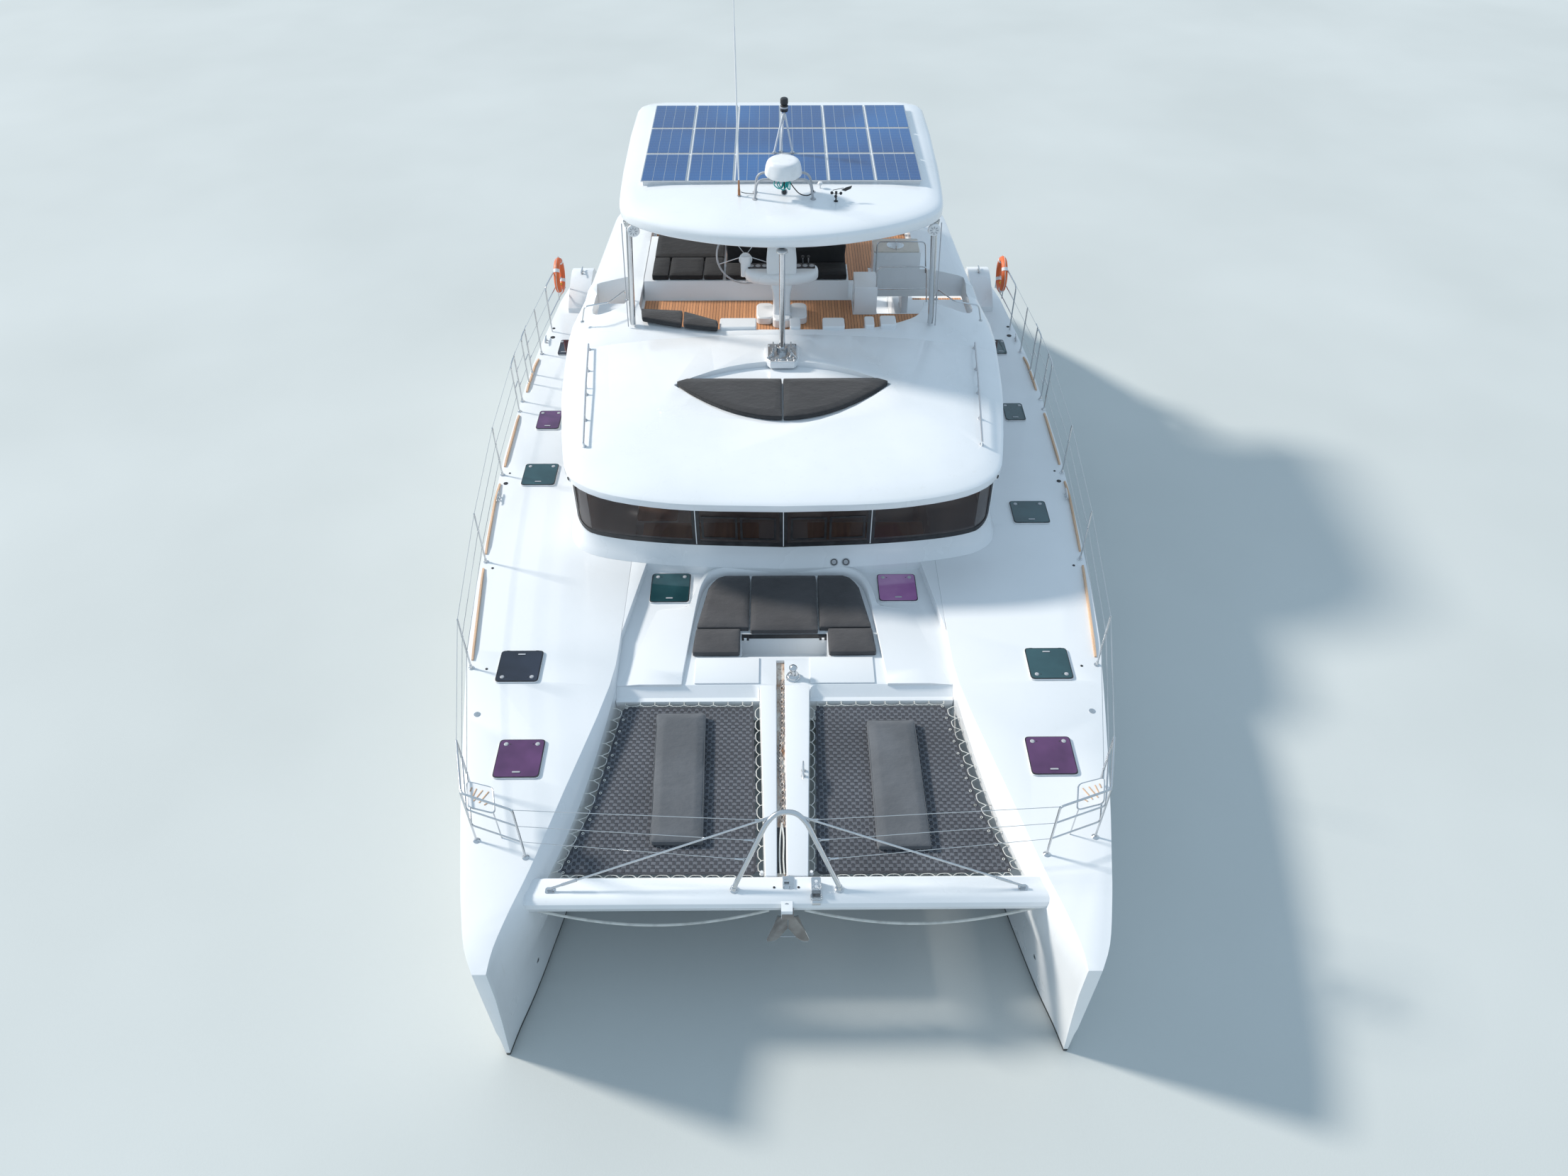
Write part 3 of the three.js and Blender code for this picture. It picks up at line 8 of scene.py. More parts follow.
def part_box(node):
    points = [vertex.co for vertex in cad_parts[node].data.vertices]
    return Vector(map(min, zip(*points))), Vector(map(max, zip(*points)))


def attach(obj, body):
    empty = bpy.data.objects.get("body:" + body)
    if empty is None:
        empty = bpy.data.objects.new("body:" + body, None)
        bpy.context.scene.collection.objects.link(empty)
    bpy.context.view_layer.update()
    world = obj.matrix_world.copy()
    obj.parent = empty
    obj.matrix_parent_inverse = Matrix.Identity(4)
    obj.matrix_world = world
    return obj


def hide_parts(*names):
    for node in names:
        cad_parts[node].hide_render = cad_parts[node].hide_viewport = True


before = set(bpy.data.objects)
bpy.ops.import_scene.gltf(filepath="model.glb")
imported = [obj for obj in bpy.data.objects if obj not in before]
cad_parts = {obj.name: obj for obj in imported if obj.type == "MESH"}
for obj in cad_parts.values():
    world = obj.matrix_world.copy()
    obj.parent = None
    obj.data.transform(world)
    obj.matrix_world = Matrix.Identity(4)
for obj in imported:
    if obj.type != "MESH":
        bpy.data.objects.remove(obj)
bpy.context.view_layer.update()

# Places are x to port, s aft of the bow and z above the water, all in metres
AMIDSHIPS = 9.45
DECK = 2.1
FOREDECK = 1.95
LEDGE = 1.815
BEAM_TOP = 2.0
ROOF_PAD = 4.02
FLY_FLOOR = 3.75
COCKPIT_FLOOR = 1.45
STERN_PLATFORM = 0.45
TURN = 2 * math.pi
SIDES = {"starboard": -1, "port": 1}
BOTH = (-1, 1)

# The photograph's camera
PHOTO_WIDTH = 2212
LENS_PIXELS = 1536.0
SENSOR = 36.0
EYE = (-0.085, -15.496, 13.85)
PITCH = math.radians(43.3)
YAW = math.radians(0.41)
FLOOR_REACH = 220


def at(x, s, z):
    return Vector((x, s - AMIDSHIPS, z))


def link(name, data):
    made = bpy.data.objects.new(name, data)
    bpy.context.scene.collection.objects.link(made)
    return made


def camera():
    data = bpy.data.cameras.new("camera")
    data.sensor_width = SENSOR
    data.lens = SENSOR * LENS_PIXELS / PHOTO_WIDTH
    data.clip_end = 500
    eye = link("camera", data)
    eye.location = EYE
    flat = math.cos(PITCH)
    gaze = Vector((math.sin(YAW) * flat, math.cos(YAW) * flat, -math.sin(PITCH)))
    eye.rotation_euler = gaze.to_track_quat("-Z", "Y").to_euler()
    bpy.context.scene.camera = eye


def studio():
    """A wide pale floor at the water's surface, a soft sky and a low sun."""
    mesh = bpy.data.meshes.new("floor")
    corners = rect(-FLOOR_REACH, FLOOR_REACH, -FLOOR_REACH, FLOOR_REACH)
    mesh.from_pydata([(x, y, 0) for x, y in corners], [], [(0, 1, 2, 3)])
    mesh.materials.append(ground("pale_floor"))
    floor = link("floor", mesh)
    scene = bpy.context.scene
    scene.world = bpy.data.worlds.new("world")
    scene.world.use_nodes = True
    sky = scene.world.node_tree.nodes["Background"]
    sky.inputs[0].default_value = (0.64, 0.82, 1.0, 1)
    sky.inputs[1].default_value = 0.80
    light = bpy.data.lights.new("sun", "SUN")
    light.energy = 4.0
    light.color = (1.0, 0.93, 0.85)
    light.angle = 0.12
    sun = link("sun", light)
    sun.rotation_euler = Vector((0.80, -0.27, -0.55)).to_track_quat("-Z", "Y").to_euler()
    scene.view_settings.view_transform = "Standard"


# Outlines and paths

def turned(angle, axis="X"):
    return Matrix.Rotation(angle, 3, axis)


def angles(count, first=0.0):
    """Equal steps of one full turn."""
    return [TURN * (i + first) / count for i in range(count)]


def spoke(angle):
    return Vector((math.cos(angle), math.sin(angle), 0))


def sided(points, side):
    """The points as they are, or mirrored."""
    return [(side * x, *rest) for x, *rest in points]


def rect(x0, x1, s0, s1):
    return [(x0, s0), (x1, s0), (x1, s1), (x0, s1)]


def oblong(x0, x1, s0, s1, radius=0.04, steps=4):
    return rounded(rect(x0, x1, s0, s1), radius, steps)


def between(rows, s):
    """The x at s on a line through rows of (s, x)."""
    for (s0, x0), (s1, x1) in zip(rows, rows[1:]):
        if s <= s1:
            return x0 + (x1 - x0) * (s - s0) / (s1 - s0)
    return rows[-1][1]


def inset(outline, by):
    """The outline of (x, s) moved inward by a small amount."""
    points = [Vector(p) for p in outline]
    area = sum(a.x * b.y - b.x * a.y for a, b in zip(points, points[1:] + points[:1]))
    sign = 1 if area > 0 else -1
    moved = []
    for i, p in enumerate(points):
        before = (p - points[i - 1]).normalized()
        after = (points[(i + 1) % len(points)] - p).normalized()
        normal = Vector((-before.y - after.y, before.x + after.x)) * sign
        scale = by / max(0.35, normal.length / 2)
        moved.append(p + normal.normalized() * scale if normal.length > 1e-6 else p)
    return [tuple(p) for p in moved]


def rounded(outline, radius, steps=5, closed=True):
    """The outline, or an open path, with its corners rounded."""
    result = []
    count = len(outline)
    for i, corner in enumerate(outline):
        corner = Vector(corner)
        if not closed and i in (0, count - 1):
            result.append(corner)
            continue
        before = Vector(outline[i - 1]) - corner
        after = Vector(outline[(i + 1) % count]) - corner
        reach = min(radius, 0.49 * before.length, 0.49 * after.length)
        a = corner + before.normalized() * reach
        b = corner + after.normalized() * reach
        for t in (k / steps for k in range(steps + 1)):
            result.append(a.lerp(corner, t).lerp(corner.lerp(b, t), t))
    return [tuple(p) for p in result]


def curve(points, steps=6):
    """A smooth path through points."""
    points = [Vector(p) for p in points]
    result = []
    for i in range(len(points) - 1):
        p0, p1, p2, p3 = (points[max(0, min(i + k, len(points) - 1))] for k in (-1, 0, 1, 2))
        for t in (k / steps for k in range(steps)):
            a = 2 * p1 + (p2 - p0) * t
            b = (2 * p0 - 5 * p1 + 4 * p2 - p3) * t * t
            c = (3 * p1 - p0 - 3 * p2 + p3) * t * t * t
            result.append(0.5 * (a + b + c))
    return result + [points[-1]]


def along(points, share):
    """The point at a share of the length of an open path."""
    lengths = [(b - a).length for a, b in zip(points, points[1:])]
    left = share * sum(lengths)
    for a, b, length in zip(points, points[1:], lengths):
        if left <= length:
            return a.lerp(b, left / length)
        left -= length
    return points[-1]


# Shapes

class Shape:
    """Points and faces of many closed forms, gathered for one mesh."""

    def __init__(self):
        self.points = []
        self.faces = []
        self.slots = []

    def skin(self, rings, slot=0, closed=False):
        """A solid through rings with the same number of points."""
        first = len(self.points)
        count = len(rings[0])
        total = count * len(rings)
        faces = []
        for a in range(0, total if closed else total - count, count):
            b = (a + count) % total
            for j in range(count):
                k = (j + 1) % count
                faces.append((a + j, a + k, b + k, b + j))
        if not closed:
            faces.append(tuple(reversed(range(count))))
            faces.append(tuple(range(total - count, total)))
        self.points += [Vector(p) for ring in rings for p in ring]
        self.faces += [[first + i for i in face] for face in faces]
        self.slots += [slot] * len(faces)

    def tube(self, path, radius, sides=8, slot=0, closed=False, squeeze=1.0, up=None):
        """A bar along path. radius is one size, or one for each point; squeeze thins it along up."""
        path = [Vector(p) for p in path]
        count = len(path)
        rings = []
        across = None
        for i, point in enumerate(path):
            before = path[i - 1] if closed or i > 0 else point
            after = path[(i + 1) % count] if closed or i < count - 1 else point
            ahead = (after - before).normalized()
            if across is None:
                across = ahead.cross(Vector(up)) if up else ahead.orthogonal()
            across = (across - ahead * across.dot(ahead)).normalized()
            other = ahead.cross(across) * squeeze
            size = radius[i] if isinstance(radius, list) else radius
            around = [math.cos(a) * across + math.sin(a) * other for a in angles(sides, 0.5)]
            rings.append([point + size * way for way in around])
        self.skin(rings, slot, closed)

    def bent(self, path, corner, steps, radius, sides, slot=0):
        """A bar along an open path whose corners are rounded."""
        self.tube(rounded(path, corner, steps, False), radius, sides, slot)

    def stack(self, levels, slot=0):
        """A solid through outlines of (x, s), each with its height."""
        self.skin([[at(x, s, z) for x, s in outline] for outline, z in levels], slot)

    def box(self, x0, x1, s0, s1, z0, z1, slot=0):
        self.stack([(rect(x0, x1, s0, s1), z) for z in (z0, z1)], slot)

    def plate(self, outline, low, high, slot=0, edge=0.006):
        """An upright solid whose top and bottom edges are eased."""
        tight = inset(outline, edge)
        self.stack([(tight, low), (outline, low + edge), (outline, high - edge), (tight, high)], slot)

    def lathe(self, profile, centre, sides=24, slot=0, tilt=None):
        """A turned form: profile is (radius, height) from one end to the other."""
        rings = []
        for radius, height in profile:
            ring = [Vector((radius * math.cos(a), radius * math.sin(a), height)) for a in angles(sides)]
            rings.append([centre + (tilt @ p if tilt else p) for p in ring])
        self.skin(rings, slot)

    def ring(self, centre, radius, thick, sides, around, slot, tilt=None):
        """A ring of round section about centre."""
        path = [spoke(a) * radius for a in angles(sides)]
        self.tube([centre + (tilt @ p if tilt else p) for p in path], thick, around, slot, closed=True)


SHARP = math.radians(35)


def make(name, shape, looks):
    """A Blender object from a shape, smooth but for its sharp edges."""
    mesh = bpy.data.meshes.new(name)
    mesh.from_pydata([tuple(p) for p in shape.points], [], shape.faces)
    mesh.polygons.foreach_set("material_index", shape.slots)
    work = bmesh.new()
    work.from_mesh(mesh)
    bmesh.ops.recalc_face_normals(work, faces=work.faces)
    work.to_mesh(mesh)
    work.free()
    mesh.polygons.foreach_set("use_smooth", [True] * len(mesh.polygons))
    mesh.set_sharp_from_angle(angle=SHARP)
    for key in looks:
        mesh.materials.append(LOOKS[key])
    return link(name, mesh)


def settle(piece, body, nodes):
    """Attaches a piece to what it rides on, and hides the frame's nodes it stands for."""
    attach(piece, body)
    if nodes:
        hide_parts(*nodes)


def place(name, shape, looks, body="platform", instead_of=()):
    settle(make(name, shape, looks), body, instead_of)


def skin_of(mesh):
    """A tree of a mesh's faces, to find places on its surface."""
    return BVHTree.FromPolygons([v.co for v in mesh.vertices], [p.vertices[:] for p in mesh.polygons])


# Materials

class Finish:
    """A material, with short ways to add its nodes."""

    def __init__(self, name, color, rough=0.5, **sockets):
        self.material = bpy.data.materials.new(name)
        self.material.use_nodes = True
        self.tree = self.material.node_tree
        self.shader = self.tree.nodes["Principled BSDF"]
        for key, value in {"Base_Color": (*color, 1), "Roughness": rough, **sockets}.items():
            self.shader.inputs[key.replace("_", " ")].default_value = value
        self.where = self.node("TexCoord").outputs["Object"]

    def node(self, kind, inputs=None, **settings):
        made = self.tree.nodes.new("ShaderNode" + kind)
        for key, value in settings.items():
            setattr(made, key, value)
        for key, value in (inputs or {}).items():
            if isinstance(value, bpy.types.NodeSocket):
                self.tree.links.new(value, made.inputs[key])
            else:
                made.inputs[key].default_value = value
        return made

    def noise(self, scale, detail=4.0, stretch=(1, 1, 1), rough=0.5):
        spot = self.node("Mapping", {"Vector": self.where, "Scale": stretch}).outputs[0]
        inputs = {"Vector": spot, "Scale": scale, "Detail": detail, "Roughness": rough}
        return self.node("TexNoise", inputs).outputs["Fac"]

    def wave(self, scale, way):
        inputs = {"Vector": self.where, "Scale": scale}
        return self.node("TexWave", inputs, bands_direction=way).outputs["Fac"]

    def math(self, kind, a, b=0.0):
        return self.node("Math", {0: a, 1: b}, operation=kind).outputs[0]

    def part(self, axis, vector=None):
        return self.node("SeparateXYZ", {0: vector or self.where}).outputs[axis]

    def span(self, value, low, high, to_low=0.0, to_high=1.0):
        inputs = {"Value": value, "From Min": low, "From Max": high, "To Min": to_low, "To Max": to_high}
        return self.node("MapRange", inputs).outputs[0]

    def mix(self, share, a, b):
        a, b = ((*c, 1) if isinstance(c, tuple) else c for c in (a, b))
        return self.node("Mix", {0: share, 6: a, 7: b}, data_type="RGBA").outputs[2]

    def patches(self, noise, low, high, a, b, most=1.0):
        """Goes from a to b where the noise goes from low to high."""
        return self.mix(self.span(noise, low, high, 0.0, most), a, b)

    def stripes(self, value, pitch, share):
        """One inside lines of the given share of the pitch, with soft edges."""
        wave = self.math("PINGPONG", value, pitch / 2)
        return self.span(wave, pitch / 2 * share, pitch / 2 * share * 0.6)

    def bump(self, height, distance, strength=1.0, over=None):
        inputs = {"Height": height, "Distance": distance, "Strength": strength}
        if over:
            inputs["Normal"] = over
        made = self.node("Bump", inputs).outputs[0]
        self.tree.links.new(made, self.shader.inputs["Normal"])
        return made

    def done(self, tone, rough=None):
        self.tree.links.new(tone, self.shader.inputs["Base Color"])
        if rough:
            self.tree.links.new(rough, self.shader.inputs["Roughness"])
        return self.material


GELCOAT_WHITE = (0.80, 0.82, 0.84)
BLACK_PAINT = (0.012, 0.012, 0.014)
BOOT_TOP = 0.055
CELL = 0.1155
CELL_LINE = (0.25, 0.36, 0.5)


def times(color, factor, more=0.0):
    return tuple(factor * c + more for c in color)


def gelcoat(name, nonskid=False, painted=False):
    look = Finish(name, GELCOAT_WHITE, 0.22, Coat_Weight=0.35, Coat_Roughness=0.06)
    cloud = look.noise(0.7, 5)
    tone = look.patches(cloud, 0.35, 0.7, GELCOAT_WHITE, (0.735, 0.76, 0.775))
    stain = look.noise(2.2, 6, (6, 6, 0.7), 0.6)
    tone = look.patches(stain, 0.6, 0.85, tone, (0.62, 0.60, 0.54), 0.3)
    gloss = look.span(cloud, 0.3, 0.7, 0.16, 0.3)
    if nonskid:
        upward = look.span(look.part(2, look.node("NewGeometry").outputs["Normal"]), 0.97, 0.99)
        tone = look.mix(look.math("MULTIPLY", upward, 0.55), tone, (0.70, 0.725, 0.745))
        gloss = look.math("ADD", look.math("MULTIPLY", upward, 0.28), gloss)
        grain = look.node("TexVoronoi", {"Vector": look.where, "Scale": 260.0}).outputs["Distance"]
        look.bump(look.math("MULTIPLY", grain, upward), 0.0012, 0.7)
    else:
        look.bump(look.noise(9.0, 3), 0.002, 0.25)
    if painted:
        below = look.span(look.part(2), BOOT_TOP + 0.004, BOOT_TOP - 0.004)
        slime = look.patches(look.noise(5, 5), 0.4, 0.7, BLACK_PAINT, (0.03, 0.032, 0.026))
        tone = look.mix(below, tone, slime)
        gloss = look.math("MAXIMUM", gloss, look.math("MULTIPLY", below, 0.6))
    return look.done(tone, gloss)


def antifouling(name):
    look = Finish(name, BLACK_PAINT, 0.7)
    look.bump(look.noise(60, 4), 0.001)
    return look.done(look.patches(look.noise(6, 6), 0.4, 0.7, BLACK_PAINT, (0.035, 0.036, 0.03)))


def teak(name, plank=(0.54, 0.26, 0.125), caulked=True, pitch=0.055):
    look = Finish(name, plank, 0.55)
    x = look.part(0)
    row = look.math("FLOOR", look.math("DIVIDE", x, pitch))
    each = look.node("TexWhiteNoise", {"W": row}, noise_dimensions="1D").outputs["Value"]
    grain = look.noise(30, 5, (9, 0.7, 3), 0.6)
    tone = look.mix(each, plank, times(plank, 1.35))
    tone = look.patches(grain, 0.35, 0.75, tone, times(plank, 0.55), 0.6)
    height = look.math("MULTIPLY", grain, 0.3)
    if caulked:
        seam = look.stripes(x, pitch, 0.14)
        tone = look.mix(seam, tone, (0.02, 0.018, 0.016))
        height = look.math("SUBTRACT", height, seam)
    look.bump(height, 0.0015)
    return look.done(tone, look.span(grain, 0.3, 0.7, 0.45, 0.7))


def fabric(name, color, sheen=0.2, weave=650.0):
    look = Finish(name, color, 0.85, Sheen_Weight=sheen, Sheen_Roughness=0.5)
    faded = times(color, 1.35, 0.006)
    tone = look.patches(look.noise(1.6, 5), 0.4, 0.75, color, faded)
    cloth = look.math("MULTIPLY", look.wave(weave / 3, "X"), look.wave(weave / 3, "Y"))
    creases = look.bump(look.noise(5, 4, (1, 1.6, 1), 0.6), 0.03, 0.55)
    look.bump(cloth, 0.0006, 0.6, creases)
    return look.done(look.patches(cloth, 0.0, 1.0, tone, faded, 0.35))


def metal(name, color=(0.62, 0.63, 0.64), rough=0.16):
    look = Finish(name, color, rough, Metallic=1.0)
    smear = look.noise(14, 5, (1, 1, 0.3))
    look.bump(look.noise(220, 2, (1, 1, 0.05)), 0.0003, 0.3)
    tone = look.patches(smear, 0.45, 0.8, color, times(color, 0.75), 0.35)
    return look.done(tone, look.span(smear, 0.3, 0.75, rough, rough + 0.12))


def galvanised(name):
    look = Finish(name, (0.30, 0.28, 0.26), 0.55, Metallic=0.35)
    tone = look.patches(look.noise(3.5, 5), 0.35, 0.7, (0.36, 0.34, 0.32), (0.22, 0.195, 0.18))
    rust = look.span(look.noise(9, 6), 0.62, 0.78)
    look.bump(look.noise(70, 4), 0.001)
    return look.done(look.mix(rust, tone, (0.20, 0.10, 0.055)), look.span(rust, 0, 1, 0.48, 0.8))


def bronze(name):
    look = Finish(name, (0.42, 0.27, 0.11), 0.35, Metallic=0.9)
    green = look.span(look.noise(11, 6), 0.5, 0.68)
    look.bump(look.noise(50, 4), 0.0006)
    return look.done(look.mix(green, (0.45, 0.29, 0.12), (0.16, 0.2, 0.14)),
                     look.span(green, 0, 1, 0.25, 0.7))


def acrylic(name, color, edge):
    look = Finish(name, color, 0.07, Coat_Weight=0.6, Coat_Roughness=0.03)
    scratches = look.noise(40, 5, (1, 6, 1), 0.7)
    look.bump(scratches, 0.0002, 0.3)
    tone = look.patches(look.noise(1.5, 3), 0.35, 0.7, color, edge)
    return look.done(tone, look.span(scratches, 0.4, 0.8, 0.04, 0.16))


def window(name):
    look = Finish(name, (0.05, 0.03, 0.026), 0.03, Alpha=0.42, IOR=1.5)
    smear = look.noise(3, 5, (1, 1, 0.25))
    tone = look.patches(smear, 0.4, 0.75, (0.045, 0.026, 0.022), (0.085, 0.055, 0.045))
    return look.done(tone, look.span(smear, 0.4, 0.8, 0.02, 0.1))


def solar_cells(name):
    look = Finish(name, (0.008, 0.06, 0.22), 0.14, Coat_Weight=0.3, Coat_Roughness=0.05)
    tone = look.patches(look.noise(150, 3, rough=0.7), 0.4, 0.65, (0.003, 0.036, 0.145), (0.008, 0.082, 0.27))
    # Large soft patches of lighter blue are a painted sky reflection, placed at random by noise.
    tone = look.patches(look.noise(0.5, 2), 0.4, 0.65, tone, (0.010, 0.13, 0.38), 0.5)
    for axis, pitch, share, strength in ((1, CELL, 0.05, 0.35), (0, 0.0285, 0.08, 0.25)):
        line = look.stripes(look.part(axis), pitch, share)
        tone = look.mix(look.math("MULTIPLY", line, strength), tone, CELL_LINE)
    look.bump(look.noise(120, 2), 0.0002, 0.3)
    return look.done(tone)


def plastic(name, color, rough=0.4):
    look = Finish(name, color, rough)
    worn = look.noise(9, 5)
    look.bump(look.noise(300.0, 2), 0.0004, 0.5)
    tone = look.patches(worn, 0.45, 0.8, color, times(color, 0.7, 0.06), 0.5)
    return look.done(tone, look.span(worn, 0.3, 0.7, rough - 0.08, rough + 0.12))


def webbing(name, color):
    look = Finish(name, color, 0.75, Sheen_Weight=0.15)
    worn = times(color, 1.5, 0.006)
    ribs = look.wave(130.0, "DIAGONAL")
    look.bump(ribs, 0.0006)
    tone = look.patches(look.noise(1.1, 4), 0.35, 0.75, color, worn)
    return look.done(look.mix(look.math("MULTIPLY", ribs, 0.3), tone, worn))


def rusty(name):
    look = Finish(name, (0.45, 0.33, 0.24), 0.7)
    spread = look.noise(5, 6, (1.5, 0.6, 1), 0.65)
    tone = look.patches(spread, 0.38, 0.66, (0.62, 0.58, 0.52), (0.30, 0.15, 0.075))
    look.bump(look.noise(60, 4), 0.002)
    return look.done(look.patches(look.noise(22, 5), 0.55, 0.75, tone, (0.12, 0.055, 0.03)))


def rope(name, color):
    look = Finish(name, color, 0.8)
    look.bump(look.wave(90.0, "DIAGONAL"), 0.0015)
    return look.done(look.patches(look.noise(6, 5), 0.45, 0.8, color, times(color, 0.6)))


def ground(name):
    look = Finish(name, (0.52, 0.55, 0.54), 0.85)
    look.bump(look.noise(40, 3), 0.001)
    return look.done(look.patches(look.noise(0.15, 3), 0.3, 0.7, (0.50, 0.53, 0.52), (0.55, 0.58, 0.57)))


LOOKS = {
    "hull": gelcoat("hull_gelcoat", nonskid=True, painted=True),
    "deck": gelcoat("deck_gelcoat", nonskid=True),
    "gelcoat": gelcoat("smooth_gelcoat"),
    "antifouling": antifouling("antifouling_paint"),
    "bronze": bronze("cast_bronze"),
    "window": window("window_glass"),
    "violet": acrylic("violet_acrylic", (0.055, 0.015, 0.064), (0.125, 0.042, 0.14)),
    "bright_violet": acrylic("bright_violet_acrylic", (0.33, 0.13, 0.33), (0.47, 0.24, 0.44)),
    "teal": acrylic("teal_acrylic", (0.010, 0.042, 0.050), (0.025, 0.080, 0.092)),
    "smoke": acrylic("smoke_acrylic", (0.007, 0.009, 0.018), (0.018, 0.024, 0.045)),
    "cushion": fabric("charcoal_cloth", (0.045, 0.044, 0.047)),
    "dark_cushion": fabric("dark_cloth", (0.020, 0.020, 0.022)),
    "black_cushion": fabric("black_cloth", (0.009, 0.009, 0.010), sheen=0.05),
    "pad": fabric("grey_cloth", (0.083, 0.090, 0.100)),
    "steel": metal("polished_stainless"),
    "satin": metal("satin_aluminium", (0.62, 0.63, 0.65), 0.3),
    "galvanised": galvanised("galvanised_steel"),
    "rusty": rusty("rust_stain"),
    "cells": solar_cells("blue_cells"),
    "teak": teak("teak_deck"),
    "teak_plain": teak("teak_trim", (0.34, 0.15, 0.07), caulked=False),
    "webbing": webbing("dark_webbing", (0.028, 0.031, 0.040)),
    # Straps running across the boat get a lighter copy of the webbing: a painted highlight for the light on that way of
    # the weave.
    "webbing_painted_highlight": webbing("webbing_painted_highlight", (0.085, 0.092, 0.108)),
    "rope": rope("white_rope", (0.74, 0.74, 0.70)),
    "black": plastic("black_plastic", (0.02, 0.02, 0.022)),
    "white": plastic("white_plastic", (0.76, 0.77, 0.78), 0.35),
    "grey": plastic("grey_plastic", (0.42, 0.43, 0.45)),
    "orange": plastic("orange_plastic", (0.75, 0.14, 0.03), 0.45),
    "yellow": plastic("yellow_plastic", (0.75, 0.52, 0.03)),
    "turquoise": plastic("turquoise_cable", (0.03, 0.42, 0.40), 0.45),
    "cream": fabric("cream_cloth", (0.66, 0.58, 0.52)),
    "weathered": teak("weathered_teak", (0.60, 0.40, 0.26), caulked=False),
    "cream_top": plastic("cream_worktop", (0.62, 0.58, 0.52), 0.35),
    "wood": teak("interior_wood", (0.44, 0.22, 0.12), caulked=False),
}


# What the frame already has: its solids keep their shape and get eased edges and a finish

FRAME_LOOKS = {
    "hull_": "hull", "bridge_deck": "deck", "saloon_walls": "gelcoat", "saloon_aft_wall": "gelcoat",
    "coachroof": "gelcoat", "flybridge": "gelcoat", "hardtop": "gelcoat", "crossbeam": "gelcoat",
    "walkway": "deck", "locker_lid": "deck", "rudder": "antifouling", "propeller": "bronze",
    "glass_": "window", "saloon_door": "window", "post_": "steel", "centre_post": "steel",
    "cockpit_table": "teak_plain",
}
EASED = {"hull_": 0.02, "bridge_deck": 0.025, "hardtop": 0.02, "coachroof": 0.015, "flybridge": 0.025,
         "crossbeam": 0.012, "walkway": 0.012}


def smoother():
    """Joins the corners of a faceted solid and smooths its shading."""
    tree = bpy.data.node_groups.new("smooth_solid", "GeometryNodeTree")
    for way in ("INPUT", "OUTPUT"):
        tree.interface.new_socket("Geometry", in_out=way, socket_type="NodeSocketGeometry")
    kinds = ("NodeGroupInput", "GeometryNodeMergeByDistance", "GeometryNodeSetShadeSmooth", "NodeGroupOutput")
    nodes = [tree.nodes.new(kind) for kind in kinds]
    nodes[1].inputs["Distance"].default_value = 0.0002
    for a, b in zip(nodes, nodes[1:]):
        tree.links.new(a.outputs[0], b.inputs[0])
    return tree


def frame_finish():
    tree = smoother()
    for name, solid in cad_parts.items():
        key = next((k for k in FRAME_LOOKS if name.startswith(k)), None)
        if key is None:
            continue
        solid.data.materials.clear()
        solid.data.materials.append(LOOKS[FRAME_LOOKS[key]])
        solid.modifiers.new("smooth", "NODES").node_group = tree
        flat = solid.modifiers.new("flat", "DECIMATE")
        flat.decimate_type = "DISSOLVE"
        flat.angle_limit = math.radians(0.6)
        ease = solid.modifiers.new("ease", "BEVEL")
        ease.width = EASED.get(key, 0.004)
        ease.segments = 3
        ease.limit_method = "ANGLE"
        ease.angle_limit = math.radians(28)
        ease.harden_normals = True


# Deck hatches

HATCH_LOOKS = {
    "hatch_bow": "violet", "hatch_hull_starboard": "smoke", "hatch_hull_port": "teal",
    "hatch_foredeck_starboard": "teal", "hatch_foredeck_port": "bright_violet",
    "hatch_side_starboard_2": "violet", "hatch_side_starboard_3": "smoke", "hatch_side": "teal",
}
HINGE_AFT = "hatch_hull"
PANE_TOP = 0.0365
# Layers of a lid: inset, bottom, top, look. The last two are the border and the pane as seen from below
LID_LAYERS = [(0.0, 0.002, 0.025, 0), (0.004, 0.025, 0.033, 3), (0.016, 0.032, PANE_TOP, 1),
              (0.028, 0.0012, 0.01, 3), (0.042, 0.0004, 0.01, 1)]
KNOB = [(0.031, 0), (0.031, 0.004), (0.022, 0.007), (0.020, 0.0105)]


def hatches():
    """Each lid is a white frame, a dark border and a tinted pane, with two knobs, two hinges and a handle."""
    for name in [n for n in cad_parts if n.startswith("hatch_")]:
        low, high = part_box(name)
        x0, x1, s0, s1, deck = low.x, high.x, low.y + AMIDSHIPS, high.y + AMIDSHIPS, low.z
        middle, width = (x0 + x1) / 2, x1 - x0
        lid = Shape()
        for by, bottom, top, slot in LID_LAYERS:
            outline = oblong(x0 + by, x1 - by, s0 + by, s1 - by, min(0.06, 0.3 * width))
            lid.plate(outline, deck + bottom, deck + top, slot, 0.003)
        hinge_s, inward, far_s = (s1, -1, s0) if name.startswith(HINGE_AFT) else (s0, 1, s1)
        for x in (middle - 0.34 * width, middle + 0.34 * width):
            knob = at(x, far_s - inward * 0.09, deck + PANE_TOP)
            lid.lathe(KNOB, knob, 16, 2)
            lid.lathe([(0.008, 0), (0.006, 0.004)], knob + Vector((0.28 * (middle - x), 0, 0)), 8, 3)
            pin = at(x, hinge_s + inward * 0.008, deck + 0.030)
            lid.tube([pin + Vector((end * 0.022, 0, 0)) for end in BOTH], 0.006, 8, 3)
        handle = oblong(middle - 0.055, middle + 0.055, hinge_s + inward * 0.075,
                        hinge_s + inward * 0.1, 0.01, 2)
        lid.plate(handle, deck + PANE_TOP, deck + 0.046, 2, 0.003)
        glass = next(look for key, look in HATCH_LOOKS.items() if name.startswith(key))
        place(name + "_lid", lid, ["white", glass, "grey", "black"], name, [name])


# Soft goods: a pad swells inside its own outline, held along its two seams

